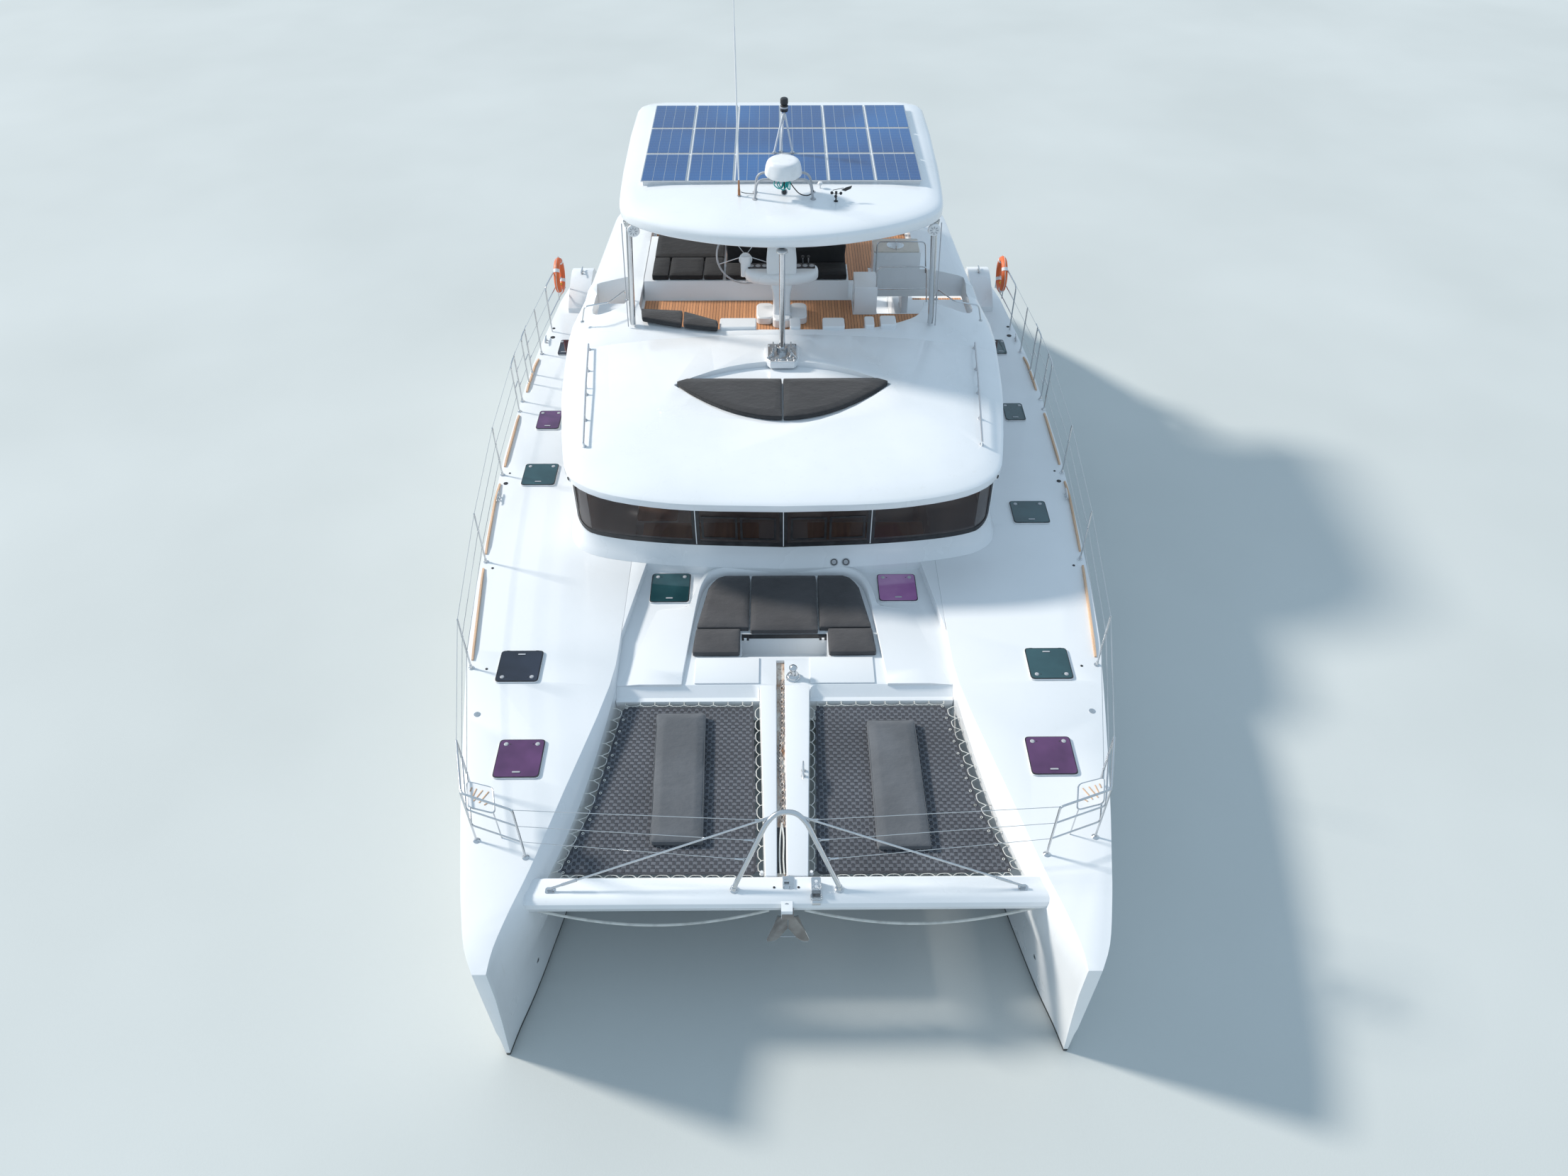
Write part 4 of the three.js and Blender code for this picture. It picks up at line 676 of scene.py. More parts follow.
PAD_CELL = 0.022
SWELL = 0.028
FRAMES = 16


def seam_distance(point, seam):
    best = 9.0
    for a, b in zip(seam, seam[1:] + seam[:1]):
        span = b - a
        t = max(0.0, min(1.0, (point - a).dot(span) / span.length_squared))
        best = min(best, (a + t * span - point).length)
    return best


def swollen(piece, seams):
    """Where a cloth simulation with pressure inside moves the points, those near the seams being held."""
    held = piece.vertex_groups.new(name="held")
    for i, vertex in enumerate(piece.data.vertices):
        near = min(seam_distance(vertex.co, seam) for seam in seams)
        held.add([i], max(0.0, 1.0 - near / (1.6 * PAD_CELL)), "REPLACE")
    cloth = piece.modifiers.new("cloth", "CLOTH")
    cloth.settings.use_pressure = True
    cloth.settings.uniform_pressure_force = 4.0
    cloth.settings.effector_weights.gravity = 0
    cloth.settings.vertex_group_mass = "held"
    cloth.settings.quality = 4
    cloth.collision_settings.use_collision = False
    cloth.point_cache.frame_start = 1
    cloth.point_cache.frame_end = FRAMES
    for number in range(1, FRAMES + 1):
        bpy.context.scene.frame_set(number)
    depsgraph = bpy.context.evaluated_depsgraph_get()
    moved = [v.co.copy() for v in piece.evaluated_get(depsgraph).data.vertices]
    piece.modifiers.clear()
    bpy.context.scene.frame_set(1)
    piece.vertex_groups.clear()
    return moved


def swell(piece, seams, limit):
    """Remeshes a closed form, blows it up by no more than limit, and smooths it."""
    remesh = piece.modifiers.new("remesh", "REMESH")
    remesh.mode = "VOXEL"
    remesh.voxel_size = PAD_CELL
    depsgraph = bpy.context.evaluated_depsgraph_get()
    mesh = bpy.data.meshes.new_from_object(piece.evaluated_get(depsgraph))
    piece.modifiers.clear()
    piece.data = mesh
    for vertex, spot in zip(mesh.vertices, swollen(piece, seams)):
        move = spot - vertex.co
        vertex.co += move.normalized() * min(move.length, limit)
    work = bmesh.new()
    work.from_mesh(mesh)
    bmesh.ops.smooth_vert(work, verts=work.verts, factor=0.5, use_axis_x=True, use_axis_y=True,
                          use_axis_z=True)
    work.to_mesh(mesh)
    work.free()
    mesh.polygons.foreach_set("use_smooth", [True] * len(mesh.polygons))
    finer = piece.modifiers.new("finer", "SUBSURF")
    finer.levels = 1
    finer.render_levels = 1


def pad(name, outline, low, high, look, nodes=(), corner=0.05, crown=0.02, limit=0.02):
    """A cushion over an outline of (x, s), with piping along its upper and lower seams."""
    outer = rounded(outline, corner, 4)
    tight = inset(outer, 0.006)
    top = high - crown
    solid = Shape()
    solid.stack([(tight, low + 0.004), (tight, top)])
    piece = make(name, solid, [look])
    swell(piece, [[at(x, s, z) for x, s in tight] for z in (low + 0.008, top)], limit)
    piece.data.materials.clear()
    piece.data.materials.append(LOOKS[look])
    settle(piece, "platform", nodes)
    skin = skin_of(piece.data)
    cord = Shape()
    for z in (low + 0.012, top - 0.002):
        ring = [skin.find_nearest(at(x, s, z))[0] for x, s in outer]
        smooth = [(ring[i - 1] + 2 * p + ring[(i + 1) % len(ring)]) / 4 for i, p in enumerate(ring)]
        cord.tube(smooth, 0.0045, 6, 0, closed=True)
    place(name + "_piping", cord, [look])


def pads(name, plans, low, high, look, node, **how):
    """Cushions numbered from one, the first of which stands for the frame's node."""
    for i, plan in enumerate(plans):
        pad("%s_%d" % (name, i + 1), plan, low, high, look, () if i else [node], **how)


NET_TOP = 1.806
NET_PADS = {
    "starboard": [(-1.84, 4.05), (-1.12, 4.05), (-1.06, 1.88), (-1.76, 1.88)],
    "port": [(1.85, 3.91), (1.15, 3.91), (1.16, 1.80), (1.87, 1.80)],
}
# Cushions of the foredeck's seat: across the middle, and to port at the back and beside the foot well
FOREDECK_MIDDLE = [(-0.524, 6.78), (0.524, 6.78), (0.524, 5.54), (-0.524, 5.54)]
FOREDECK_BACK = [(0.53, 6.78), (0.95, 6.78), (1.06, 6.715), (1.14, 6.61), (1.20, 6.48), (1.345, 5.605),
                 (0.53, 5.605)]
FOREDECK_FRONT = [(0.655, 5.592), (1.345, 5.592), (1.383, 5.087), (0.655, 5.087)]
# The roof's lens of cushions: half its length, s of its tips and of its front
LENS = (1.775, 9.45, 8.42)
LOUNGE = [(-2.415, -2.10, 12.665, 13.40), (-2.094, -1.46, 12.665, 13.40), (-1.454, -1.085, 12.665, 13.40),
          (-2.415, -1.085, 13.406, 14.475)]
HELM_SPANS = [(-1.045, 0.09), (0.096, 1.225)]
COAMING = [[(-2.53, 11.65), (-2.49, 11.31), (-1.83, 11.10), (-1.756, 11.08), (-1.77, 11.58)],
           [(-1.744, 11.08), (-1.12, 10.95), (-1.12, 11.21), (-1.752, 11.56)]]
COCKPIT_SPANS = [(-1.855, -0.82), (-0.813, 0.23), (0.237, 1.275)]


def net_pads():
    for name, plan in NET_PADS.items():
        pad("net_pad_" + name + "_cover", plan, NET_TOP + 0.006, NET_TOP + 0.125, "pad", ["net_pad_" + name],
            limit=SWELL)


def foredeck_seat():
    low, high = FOREDECK + 0.001, FOREDECK + 0.118
    pad("foredeck_cushion_middle", FOREDECK_MIDDLE, low, high, "cushion", ["foredeck_cushions"])
    for name, side in SIDES.items():
        for where, plan in (("back_", FOREDECK_BACK), ("front_", FOREDECK_FRONT)):
            pad("foredeck_cushion_" + where + name, sided(plan, side), low, high, "cushion", corner=0.03)


def roof_seat():
    half, tip, peak = LENS
    plan = [(max(half * t, 0.003), tip + (peak - tip) * (1 - t * t)) for t in (i / 12 for i in range(13))]
    plan += [(1.60, 9.545), (0.003, 9.545)]
    for name, side in SIDES.items():
        pad("roof_cushion_" + name, sided(plan, side), 3.869, 3.985, "dark_cushion",
            ["roof_cushion"] if side < 0 else (), corner=0.03, limit=0.024)


def flybridge_seats():
    low, high, look = 4.102, 4.225, "black_cushion"
    pads("lounge_cushion", [rect(*row) for row in LOUNGE], low, high, look, "lounge_cushion", corner=0.04)
    for i, (x0, x1) in enumerate(HELM_SPANS):
        number = "_%d" % (i + 1)
        pad("helm_cushion" + number, rect(x0, x1, 12.665, 13.19), low, high, look,
            () if i else ["helm_cushion"], corner=0.04)
        pad("helm_backrest" + number, rect(x0, x1, 13.20, 13.285), low, 4.55, look, corner=0.03, limit=0.015)
    pads("coaming_cushion", COAMING, 4.0, 4.128, "dark_cushion", "coaming_pad", crown=0.03)


def cockpit_seats():
    plans = [rect(x0, x1, 16.165, 16.725) for x0, x1 in COCKPIT_SPANS]
    pads("cockpit_cushion", plans, 1.882, 1.99, "dark_cushion", "cockpit_cushion", corner=0.04)


# The foredeck's mouldings: the raised side decks around the seat, and rounded corners at the bulkhead

# Inner edge of the raised part beside and behind the seat: x, s, rise over the foredeck, breadth, slope
SEAT_RIM = [(1.50, 4.515, 0.045, 0.64, 0.30), (1.45, 5.10, 0.048, 0.48, 0.30),
            (1.405, 5.62, 0.052, 0.32, 0.38), (1.36, 6.00, 0.068, 0.22, 0.42),
            (1.338, 6.14, 0.079, 0.135, 0.02), (1.27, 6.50, 0.11, 0.125, 0.02),
            (1.15, 6.74, 0.14, 0.12, 0.02), (0.99, 6.83, 0.15, 0.12, 0.02), (0.80, 6.85, 0.15, 0.12, 0.02),
            (0.0, 6.86, 0.15, 0.12, 0.02)]
RIM_STEPS = 4
# The bulkhead's corners at the foot well: height, s of the wall, radius
WELL_CORNERS = [(LEDGE + 0.001, 4.402, 0.07), (FOREDECK - 0.001, 4.53, 0.12)]
WELL_HALF = 0.365


def rim_section(rise, wide, slope):
    """Points across the rim, as the distance outward and the height over the foredeck."""
    lean = 0.55 * max(0.0, rise - 0.05)
    return [(0, -0.02), (0, 0.018), (lean, rise - 0.01), (lean + 0.012, rise), (wide - 0.02, rise - 0.002),
            (wide + slope, -0.003), (wide + slope, -0.02)]


def seat_rim(shape, side):
    path = curve([(row[0], row[1], 0) for row in SEAT_RIM], RIM_STEPS)
    last = len(path) - 1
    rings = []
    for i, spot in enumerate(path):
        k = min(i // RIM_STEPS, len(SEAT_RIM) - 2)
        share = i / RIM_STEPS - k
        section = rim_section(*(a + (b - a) * share for a, b in zip(SEAT_RIM[k][2:], SEAT_RIM[k + 1][2:])))
        way = (path[min(i + 1, last)] - path[max(i - 1, 0)]).normalized()
        out = Vector((way.y, -way.x))
        if i == 0:
            out = Vector((1, 0))
            section = [(d, min(z, SEAT_RIM[0][2] - 0.012)) for d, z in section]
        if i == last:
            out = Vector((0, 1))
        rings.append([at(side * (spot.x + out.x * d), spot.y + out.y * d, FOREDECK + z) for d, z in section])
    shape.skin(rings)


def foredeck_mouldings():
    shape = Shape()
    trim = Shape()
    # The black strip across the foot well's back wall and the black blocks beside it are painted shade under the middle
    # cushion's front edge; the white blocks are brackets.
    trim.box(-0.645, 0.645, 5.550, 5.5585, 1.86, 1.947)
    for side in BOTH:
        seat_rim(shape, side)
        levels = []
        for z, wall, radius in WELL_CORNERS:
            arc = [(WELL_HALF + radius * (1 - math.sin(a)), wall - radius * (1 - math.cos(a)))
                   for a in (TURN / 4 * k / 6 for k in range(7))]
            levels.append((sided([(WELL_HALF - 0.01, wall + 0.01)] + arc, side), z))
        shape.stack(levels)
        for x in (0.3, 0.62, 0.98):
            shape.lathe([(0.008, 0), (0.008, 0.003)], at(side * x, 6.90, FOREDECK + 0.111), 8, 1)
        trim.box(side * 0.535, side * 0.645, 5.47, 5.552, 1.90, 1.947)
        trim.box(side * 0.59 - 0.02, side * 0.59 + 0.02, 5.44, 5.472, 1.88, 1.955, 1)
    place("foredeck_mouldings", shape, ["deck", "grey"])
    place("foredeck_seat_brackets_and_painted_shade", trim, ["black", "white"])


# Nets: woven straps, a hem, and the lacing that holds it

NET_CORNERS = [(2.85, 1.51), (0.40, 1.49), (0.47, 4.21), (2.31, 4.22), (2.55, 2.50)]
STRAP_PITCH = 0.053
STRAP_HALF = 0.0205
STRAP_THICK = 0.003
STRAP_REACH = 0.045
STRAP_SHORT = 0.012
WEAVE = 0.0055
GROUP = 4
NET_Z = 1.798
LACE = 0.006
HOOKS_FROM = 4.0
# The hull's inner side at the height of the net: s, x
HULL_INNER = [(1.13, 3.21), (1.56, 3.10), (2.63, 2.86), (3.46, 2.68), (4.45, 2.47)]


def crossing(corners, axis, value):
    """The two points where the line x = value, or s = value, meets the edges of the net."""
    hits = []
    for a, b in zip(corners, corners[1:] + corners[:1]):
        if (a[axis] - value) * (b[axis] - value) < 0:
            t = (value - a[axis]) / (b[axis] - a[axis])
            hits.append(a[1 - axis] + t * (b[1 - axis] - a[1 - axis]))
    return (min(hits), max(hits)) if len(hits) == 2 else (0, 0)


def straps(shape, corners, axis):
    """Flat straps along one way, over and under those that cross them. Two of every four reach the lacing."""
    values = [c[axis] for c in corners]
    for row in range(math.ceil(min(values) / STRAP_PITCH), math.floor(max(values) / STRAP_PITCH) + 1):
        fixed = row * STRAP_PITCH
        start, end = crossing(corners, axis, fixed)
        if end - start < 0.1:
            continue
        reach = STRAP_REACH if abs(row) % GROUP in (1, 2) else -STRAP_SHORT
        start, end = start - reach, end + reach
        inner = range(math.ceil(start / STRAP_PITCH + 0.2), math.floor(end / STRAP_PITCH - 0.2) + 1)
        rings = []
        for stop in [start] + [k * STRAP_PITCH for k in inner] + [end]:
            over = (round(stop / STRAP_PITCH) + row) % 2 == axis % 2
            middle = NET_Z + (WEAVE if over else -WEAVE)
            z0, z1 = middle - STRAP_THICK / 2, middle + STRAP_THICK / 2
            ring = rect(fixed - STRAP_HALF, fixed + STRAP_HALF, z0, z1)
            rings.append([at(v, stop, z) if axis == 0 else at(stop, v, z) for v, z in ring])
        shape.skin(rings, axis)


def walkway_half(s):
    return 0.27 + 0.095 * (s - 1.33) / 3.2


def anchored(kind, p, side):
    """Where the lacing at p of the net is tied: to the beam, the walkway, the foredeck's edge or the hull."""
    return {
        "beam": (p[0], 1.332, NET_Z + 0.04),
        "walkway": (side * walkway_half(p[1]), p[1], NET_Z + 0.02),
        "foredeck": (p[0], 4.328, LEDGE - 0.02),
        "hull": (side * between(HULL_INNER, p[1]), p[1], NET_Z + 0.01),
    }[kind]


# Sides of the net in turn: along x or s, what holds it, and the rope's distance at its middle and its ends
NET_SIDES = [(0, "beam", 0.035, 0.075), (1, "walkway", 0.045, 0.085), (0, "foredeck", 0.035, 0.06),
             (1, "hull", 0.03, 0.12), (1, "hull", 0.03, 0.12)]


def laced(shape, corners, side):
    """Rope in a flat arc over each group of straps, tied back between the groups."""
    cell = GROUP * STRAP_PITCH
    for a, b, (axis, kind, middle, cusp) in zip(corners, corners[1:] + corners[:1], NET_SIDES):
        a, b = Vector(a), Vector(b)
        low, high = sorted((abs(a[axis]), abs(b[axis])))
        marks = [(k + 0.875) * cell for k in range(100) if low + 0.07 < (k + 0.875) * cell < high - 0.07]
        shares = sorted((m - abs(a[axis])) / (abs(b[axis]) - abs(a[axis])) for m in marks)
        points = [a.lerp(b, t) for t in [0.0] + shares + [1.0]]

        def away(p, out):
            return p + (Vector(anchored(kind, p, side)[:2]) - p).normalized() * out

        near = 0.6 * cusp + 0.4 * middle
        bend = ((0, cusp), (0.1, near), (0.28, middle), (0.72, middle), (0.9, near), (1, cusp))
        for p, q in zip(points, points[1:]):
            line = [away(p.lerp(q, t), out) for t, out in bend]
            shape.tube(curve([at(*spot, NET_Z + 0.004) for spot in line], 3), LACE, 6, 2)
        for p in points:
            x, s, z = anchored(kind, p, side)
            shape.tube([at(*away(p, cusp), NET_Z + 0.004), at(x, s, z)], LACE, 6, 2)
            if kind == "hull":
                shape.ring(at(*away(p, -0.03), NET_Z + 0.012), 0.015, 0.005, 10, 6, 2)
            elif s > HOOKS_FROM:
                shape.tube([at(x, s - 0.004, z + 0.01), at(x, s - 0.006, z - 0.035)], 0.011, 6, 2)


def trampolines():
    for name, side in SIDES.items():
        corners = sided(NET_CORNERS, side)
        shape = Shape()
        straps(shape, corners, 0)
        # The straps across the boat take the lighter webbing, which is painted highlight.
        straps(shape, corners, 1)
        hem = [at(x, s, NET_Z) for x, s in rounded(corners, 0.06, 4)]
        shape.tube(hem, 0.022, 8, 0, closed=True, squeeze=0.22, up=(0, 0, 1))
        laced(shape, corners, side)
        stay = [at(side * (walkway_half(s) + LACE), s, NET_Z + 0.024) for s in (1.36, 4.30)]
        shape.tube(stay, 0.004, 6, 2)
        place("trampoline_" + name + "_net", shape, ["webbing", "webbing_painted_highlight", "rope"],
              instead_of=["trampoline_" + name])


# Guard rails: places are (x, s) of the port side, heights are over the deck

RAIL_HEIGHTS = (1.0, 0.67, 0.34)
WIRE = 0.0045
POST = 0.0135
POST_TOP = 1.012
STANCHIONS = [(4.57, 4.75), (4.80, 7.07), (4.95, 9.37)]
# Inner leg of the pulpit, its outer corner and its aft end
PULPIT = [(3.25, 1.55), (3.91, 1.80), (4.13, 2.60)]
GATE = [(4.985, 11.35), (4.985, 11.69), (4.96, 12.32), (4.945, 12.65)]
AFT_POSTS = [(4.88, 13.41), (4.80, 14.30), (4.72, 15.10), (4.65, 15.56)]
SEAT_CORNERS = [(4.01, 2.27), (3.665, 2.17), (3.57, 1.785), (3.92, 1.885)]
SEAT_HEIGHT = DECK + 0.6
# Wooden slats across the pulpit's seat, from end to end
SEAT_SLATS = [[(3.863, 2.15), (3.888, 2.032)], [(3.782, 2.125), (3.863, 1.963)],
              [(3.702, 2.104), (3.79, 1.936)], [(3.671, 1.948), (3.722, 1.905)],
              [(3.925, 2.17), (3.935, 2.11)]]
UP = (0, 0, 1)


def post(shape, foot):
    shape.lathe([(0.042, 0), (0.042, 0.006), (0.024, 0.012), (0.019, 0.07), (0.0165, 0.075)], foot, 16)
    shape.lathe([(POST, 0.06), (POST, POST_TOP - 0.01), (0.7 * POST, POST_TOP - 0.002),
                 (0.3 * POST, POST_TOP)], foot, 12)
    for h in RAIL_HEIGHTS[1:]:
        shape.lathe([(POST, h - 0.02), (POST + 0.004, h - 0.012), (POST + 0.004, h + 0.012),
                     (POST, h + 0.02)], foot, 10)


def rails():
    for name, side in SIDES.items():
        shape = Shape()

        def top(point, height):
            return at(side * point[0], point[1], DECK + height)

        for point in (PULPIT[2], *STANCHIONS, GATE[1], GATE[3], AFT_POSTS[0]):
            post(shape, top(point, 0))
        runs = ([PULPIT[2], *STANCHIONS, GATE[0]], GATE[1:3], [GATE[3], *AFT_POSTS[:2]])
        for h in RAIL_HEIGHTS:
            for run in runs:
                shape.tube([top(p, h) for p in run], WIRE, 6)
            for x, s in (GATE[1], GATE[3]):
                shape.tube([top((x, s + 0.03), h), top((x, s + 0.15), h)], 0.008, 8)
        for a, b in (GATE[:2], GATE[2:]):
            shape.bent([top(a, 0), top(a, 1.0), top(b, 1.0), top(b, 0)], 0.09, 5, POST, 10)
            shape.tube([top(a, 0.5), top(b, 0.5)], 0.011, 8)
            for p in (a, b):
                shape.lathe([(0.04, 0), (0.04, 0.006), (0.018, 0.03)], top(p, 0), 14)
        pulpit(shape, side, top)
        pushpit(shape, top)
        place("rails_" + name + "_steel", shape, ["steel", "white", "weathered"],
              instead_of=["rails_" + name])
        lifebuoy(name, side)


def pulpit(shape, side, top):
    inner, outer, aft = PULPIT
    shape.bent([top(inner, 0), top(inner, 1.0), top(outer, 1.0), top(aft, 1.0)], 0.06, 6, 0.0145, 12)
    for h in RAIL_HEIGHTS[1:]:
        shape.bent([top(p, h) for p in PULPIT], 0.05, 5, 0.0115, 10)
    for p in (inner, outer):
        shape.tube([top(p, 0), top(p, 1.0)], POST, 10)
        shape.lathe([(0.045, 0), (0.045, 0.006), (0.02, 0.03)], top(p, 0), 16)
    plan = sided(SEAT_CORNERS, side)
    shape.plate(rounded(plan, 0.05, 4), SEAT_HEIGHT - 0.004, SEAT_HEIGHT + 0.008, 1, 0.003)
    shape.tube([at(*p, SEAT_HEIGHT) for p in rounded(plan, 0.06, 4)], 0.011, 8, 0, closed=True)
    for ends in SEAT_SLATS:
        slat = [at(x, s, SEAT_HEIGHT + 0.011) for x, s in sided(ends, side)]
        shape.tube(slat, 0.009, 8, 2, squeeze=0.6, up=UP)
    shape.tube([at(side * 3.60, 1.82, SEAT_HEIGHT), at(side * 3.60, 1.84, DECK)], 0.009, 8)


def pushpit(shape, top):
    start, middle, end = AFT_POSTS[1:]
    loop = [top(start, 0), top(start, 1.0), top(middle, 1.0), top(end, 1.0), top(end, 0.45)]
    shape.bent(loop, 0.12, 6, 0.0145, 12)
    for h in RAIL_HEIGHTS[1:]:
        shape.tube([top(p, h) for p in AFT_POSTS[1:]], 0.0115, 10)
    for p in (middle, end):
        shape.tube([top(p, 0.3), top(p, 1.0)], POST, 10)


BUOY = (4.665, 15.2, 2.9)
BUOY_RADIUS = 0.31
BUOY_TUBE = 0.062


def lifebuoy(name, side):
    """A ring with four bands and a looped line, and a yellow lamp beside it."""
    shape = Shape()
    tilt = turned(TURN / 4, "Y")
    x, s, z = BUOY
    centre = at(side * x, s, z)
    shape.ring(centre, BUOY_RADIUS, BUOY_TUBE, 40, 14, 0, tilt)
    for turn in angles(4, 0.5):
        spot = centre + tilt @ spoke(turn) * BUOY_RADIUS
        tangent = tilt @ spoke(turn + TURN / 4) * 0.035
        shape.tube([spot - tangent, spot + tangent], BUOY_TUBE + 0.003, 16, 1)
    reach = BUOY_RADIUS + BUOY_TUBE + 0.012
    line = [centre + tilt @ spoke(a) * (reach - 0.02 * math.cos(4 * (a - TURN / 8))) for a in angles(32)]
    shape.tube(line, 0.006, 6, 2, closed=True)
    lamp = at(side * (x + 0.02), s + 0.08, z - 0.42)
    shape.lathe([(0.02, 0), (0.04, 0.01), (0.045, 0.14), (0.035, 0.17), (0.03, 0.2), (0.012, 0.22)],
                lamp, 16, 3)
    place("lifebuoy_" + name, shape, ["orange", "white", "rope", "yellow"])


# Bow gear

# Ends of the lifelines on the legs of the striker: x, s, height over the beam
LIFELINE_ENDS = [(0.22, 1.51, 0.92), (0.35, 1.40, 0.66), (0.47, 1.29, 0.42)]
STRIKER_LEG = [(-0.645, 1.135, 2.0), (-0.645, 1.135, 2.06), (-0.235, 1.50, 2.90), (-0.105, 1.575, 2.995)]
STAY_FOOT = (2.90, 1.14, 0.045)
RING_TILT = 1.2


def beam_gear():
    """The arch over the beam, its two stays with their screws and plates, and the ends of the lifelines."""
    shape = Shape()
    arch = STRIKER_LEG + sided(STRIKER_LEG[::-1], -1)
    shape.bent([at(*p) for p in arch], 0.14, 6, 0.032, 18)
    x, s, rise = STAY_FOOT
    for side in BOTH:
        shape.lathe([(0.055, 0), (0.055, 0.01), (0.042, 0.02), (0.036, 0.07), (0.033, 0.075)],
                    at(side * 0.645, 1.135, BEAM_TOP), 24)
        head, foot = at(side * 0.17, 1.54, 2.95), at(side * x, s, BEAM_TOP + rise)
        shape.tube([head, foot], 0.0125, 10)
        screw = (foot - head).normalized()
        for near, size in ((0.16, 0.019), (0.02, 0.015)):
            shape.tube([foot - screw * (near + 0.2), foot - screw * near], size, 10)
        shape.tube([head, head + screw * 0.2], 0.017, 10)
        shape.plate(oblong(side * x - 0.06, side * x + 0.06, s - 0.04, s + 0.04, 0.02, 3), BEAM_TOP,
                    BEAM_TOP + 0.01, 0, 0.003)
        shape.box(side * x - 0.03, side * x + 0.03, 1.128, 1.152, BEAM_TOP, BEAM_TOP + 0.062)
        for height, (end_x, end_s, over) in zip(RAIL_HEIGHTS, LIFELINE_ENDS):
            a = at(side * PULPIT[0][0], PULPIT[0][1], DECK + height)
            b = at(side * end_x, end_s, BEAM_TOP + over)
            shape.tube([a, b], WIRE, 6)
            back = (a - b).normalized()
            shape.tube([b + back * 0.06, b + back * 0.16], 0.012, 8)
            shape.ring(b + back * 0.04, 0.022, 0.006, 12, 6, 0, turned(RING_TILT))
    place("striker_steel", shape, ["steel"], instead_of=["striker"])


# Edge of one anchor blade from its head round to its lower end, as x, s, z
BLADE_MIDDLE = 0.014
BLADE = [(0.014, 0.862, 1.80), (-0.062, 0.875, 1.80), (-0.116, 1.015, 1.575), (-0.16, 0.995, 1.415),
         (-0.222, 0.975, 1.22), (-0.258, 0.96, 1.115), (-0.245, 0.95, 1.075), (-0.20, 0.943, 1.085),
         (-0.15, 0.94, 1.12), (-0.09, 0.94, 1.20), (0.014, 0.95, 1.415)]
SHANK = [(1.045, 1.79), (1.10, 1.79), (1.085, 1.55), (1.03, 1.40), (0.985, 1.44), (1.03, 1.56)]


def anchor_gear():
    """The anchor under the beam: two blades that part from a ridge, their tie, the shank and the cheeks."""
    shape = Shape()
    for side in BOTH:
        front = [at(BLADE_MIDDLE - side * (x - BLADE_MIDDLE), s, z) for x, s, z in BLADE]
        shape.skin([front, [p + Vector((0, 0.014, 0.004)) for p in front]])
        shape.tube([p + Vector((0, 0.006, 0)) for p in front[1:10]], 0.007, 6, 1)
    shape.tube([at(BLADE_MIDDLE, 0.86, 1.80), at(BLADE_MIDDLE, 0.946, 1.41)], 0.009, 8, 1)
    shape.tube([at(-0.085, 0.945, 1.215), at(0.115, 0.945, 1.215)], 0.007, 8, 1)
    shape.plate(oblong(-0.066, 0.084, 0.846, 0.95, 0.015, 3), 1.794, 1.90, 0, 0.004)
    shape.skin([[at(x, s, z) for s, z in SHANK] for x in (-0.006, 0.028)])
    place("anchor_plough", shape, ["galvanised", "steel"], instead_of=["anchor"])


GUTTER_X = -0.06
GUTTER_HALF = 0.058
LINK = 0.085
LINK_WIRE = 0.009
WINDLASS = [(0.104, 0), (0.104, 0.012), (0.088, 0.03), (0.088, 0.05), (0.072, 0.062), (0.058, 0.085),
            (0.046, 0.12), (0.044, 0.155), (0.052, 0.185), (0.060, 0.20), (0.060, 0.215), (0.048, 0.232),
            (0.030, 0.25), (0.012, 0.258)]
# The chain's way from the roller to the windlass: x, s, z
CHAIN = [(-0.055, 2.12, 1.945), (-0.038, 2.6, 1.94), (-0.08, 3.2, 1.93), (-0.042, 3.8, 1.92),
         (-0.04, 4.5, 1.908), (0.02, 4.62, 1.93), (0.06, 4.66, 1.985)]
# The gutter's bed falls aft from its front end: s and z there, fall for each metre, lowest z
BED_START = 1.331
BED_HIGH = 1.9455
BED_SLOPE = 0.05 / 3.2
BED_LOW = 1.8955
# Strips on the gutter's bed: s from and to, thickness, look. The black one at the front end is painted shade for the
# dark slots there
GUTTER_STRIPS = [(1.332, 4.528, 0.0015, 1), (4.532, 5.008, 0.0015, 1), (1.40, 2.08, 0.004, 3)]


def chain_links(shape, path):
    """A chain of oval links along a path, each turned a quarter from the last."""
    length = sum((b - a).length for a, b in zip(path, path[1:]))
    count = int(length / (LINK * 0.78))
    for i in range(count):
        middle = along(path, (i + 0.5) / count)
        ahead = (along(path, min(1, (i + 1) / count)) - along(path, i / count)).normalized()
        flat = ahead.cross(Vector(UP)).normalized()
        side = flat if i % 2 else flat.cross(ahead).lerp(flat, 0.55).normalized()
        oval = [middle + ahead * (LINK / 2 - LINK_WIRE) * math.cos(a) + side * LINK * 0.30 * math.sin(a)
                for a in angles(10)]
        shape.tube(oval, LINK_WIRE, 6, 0, closed=True)


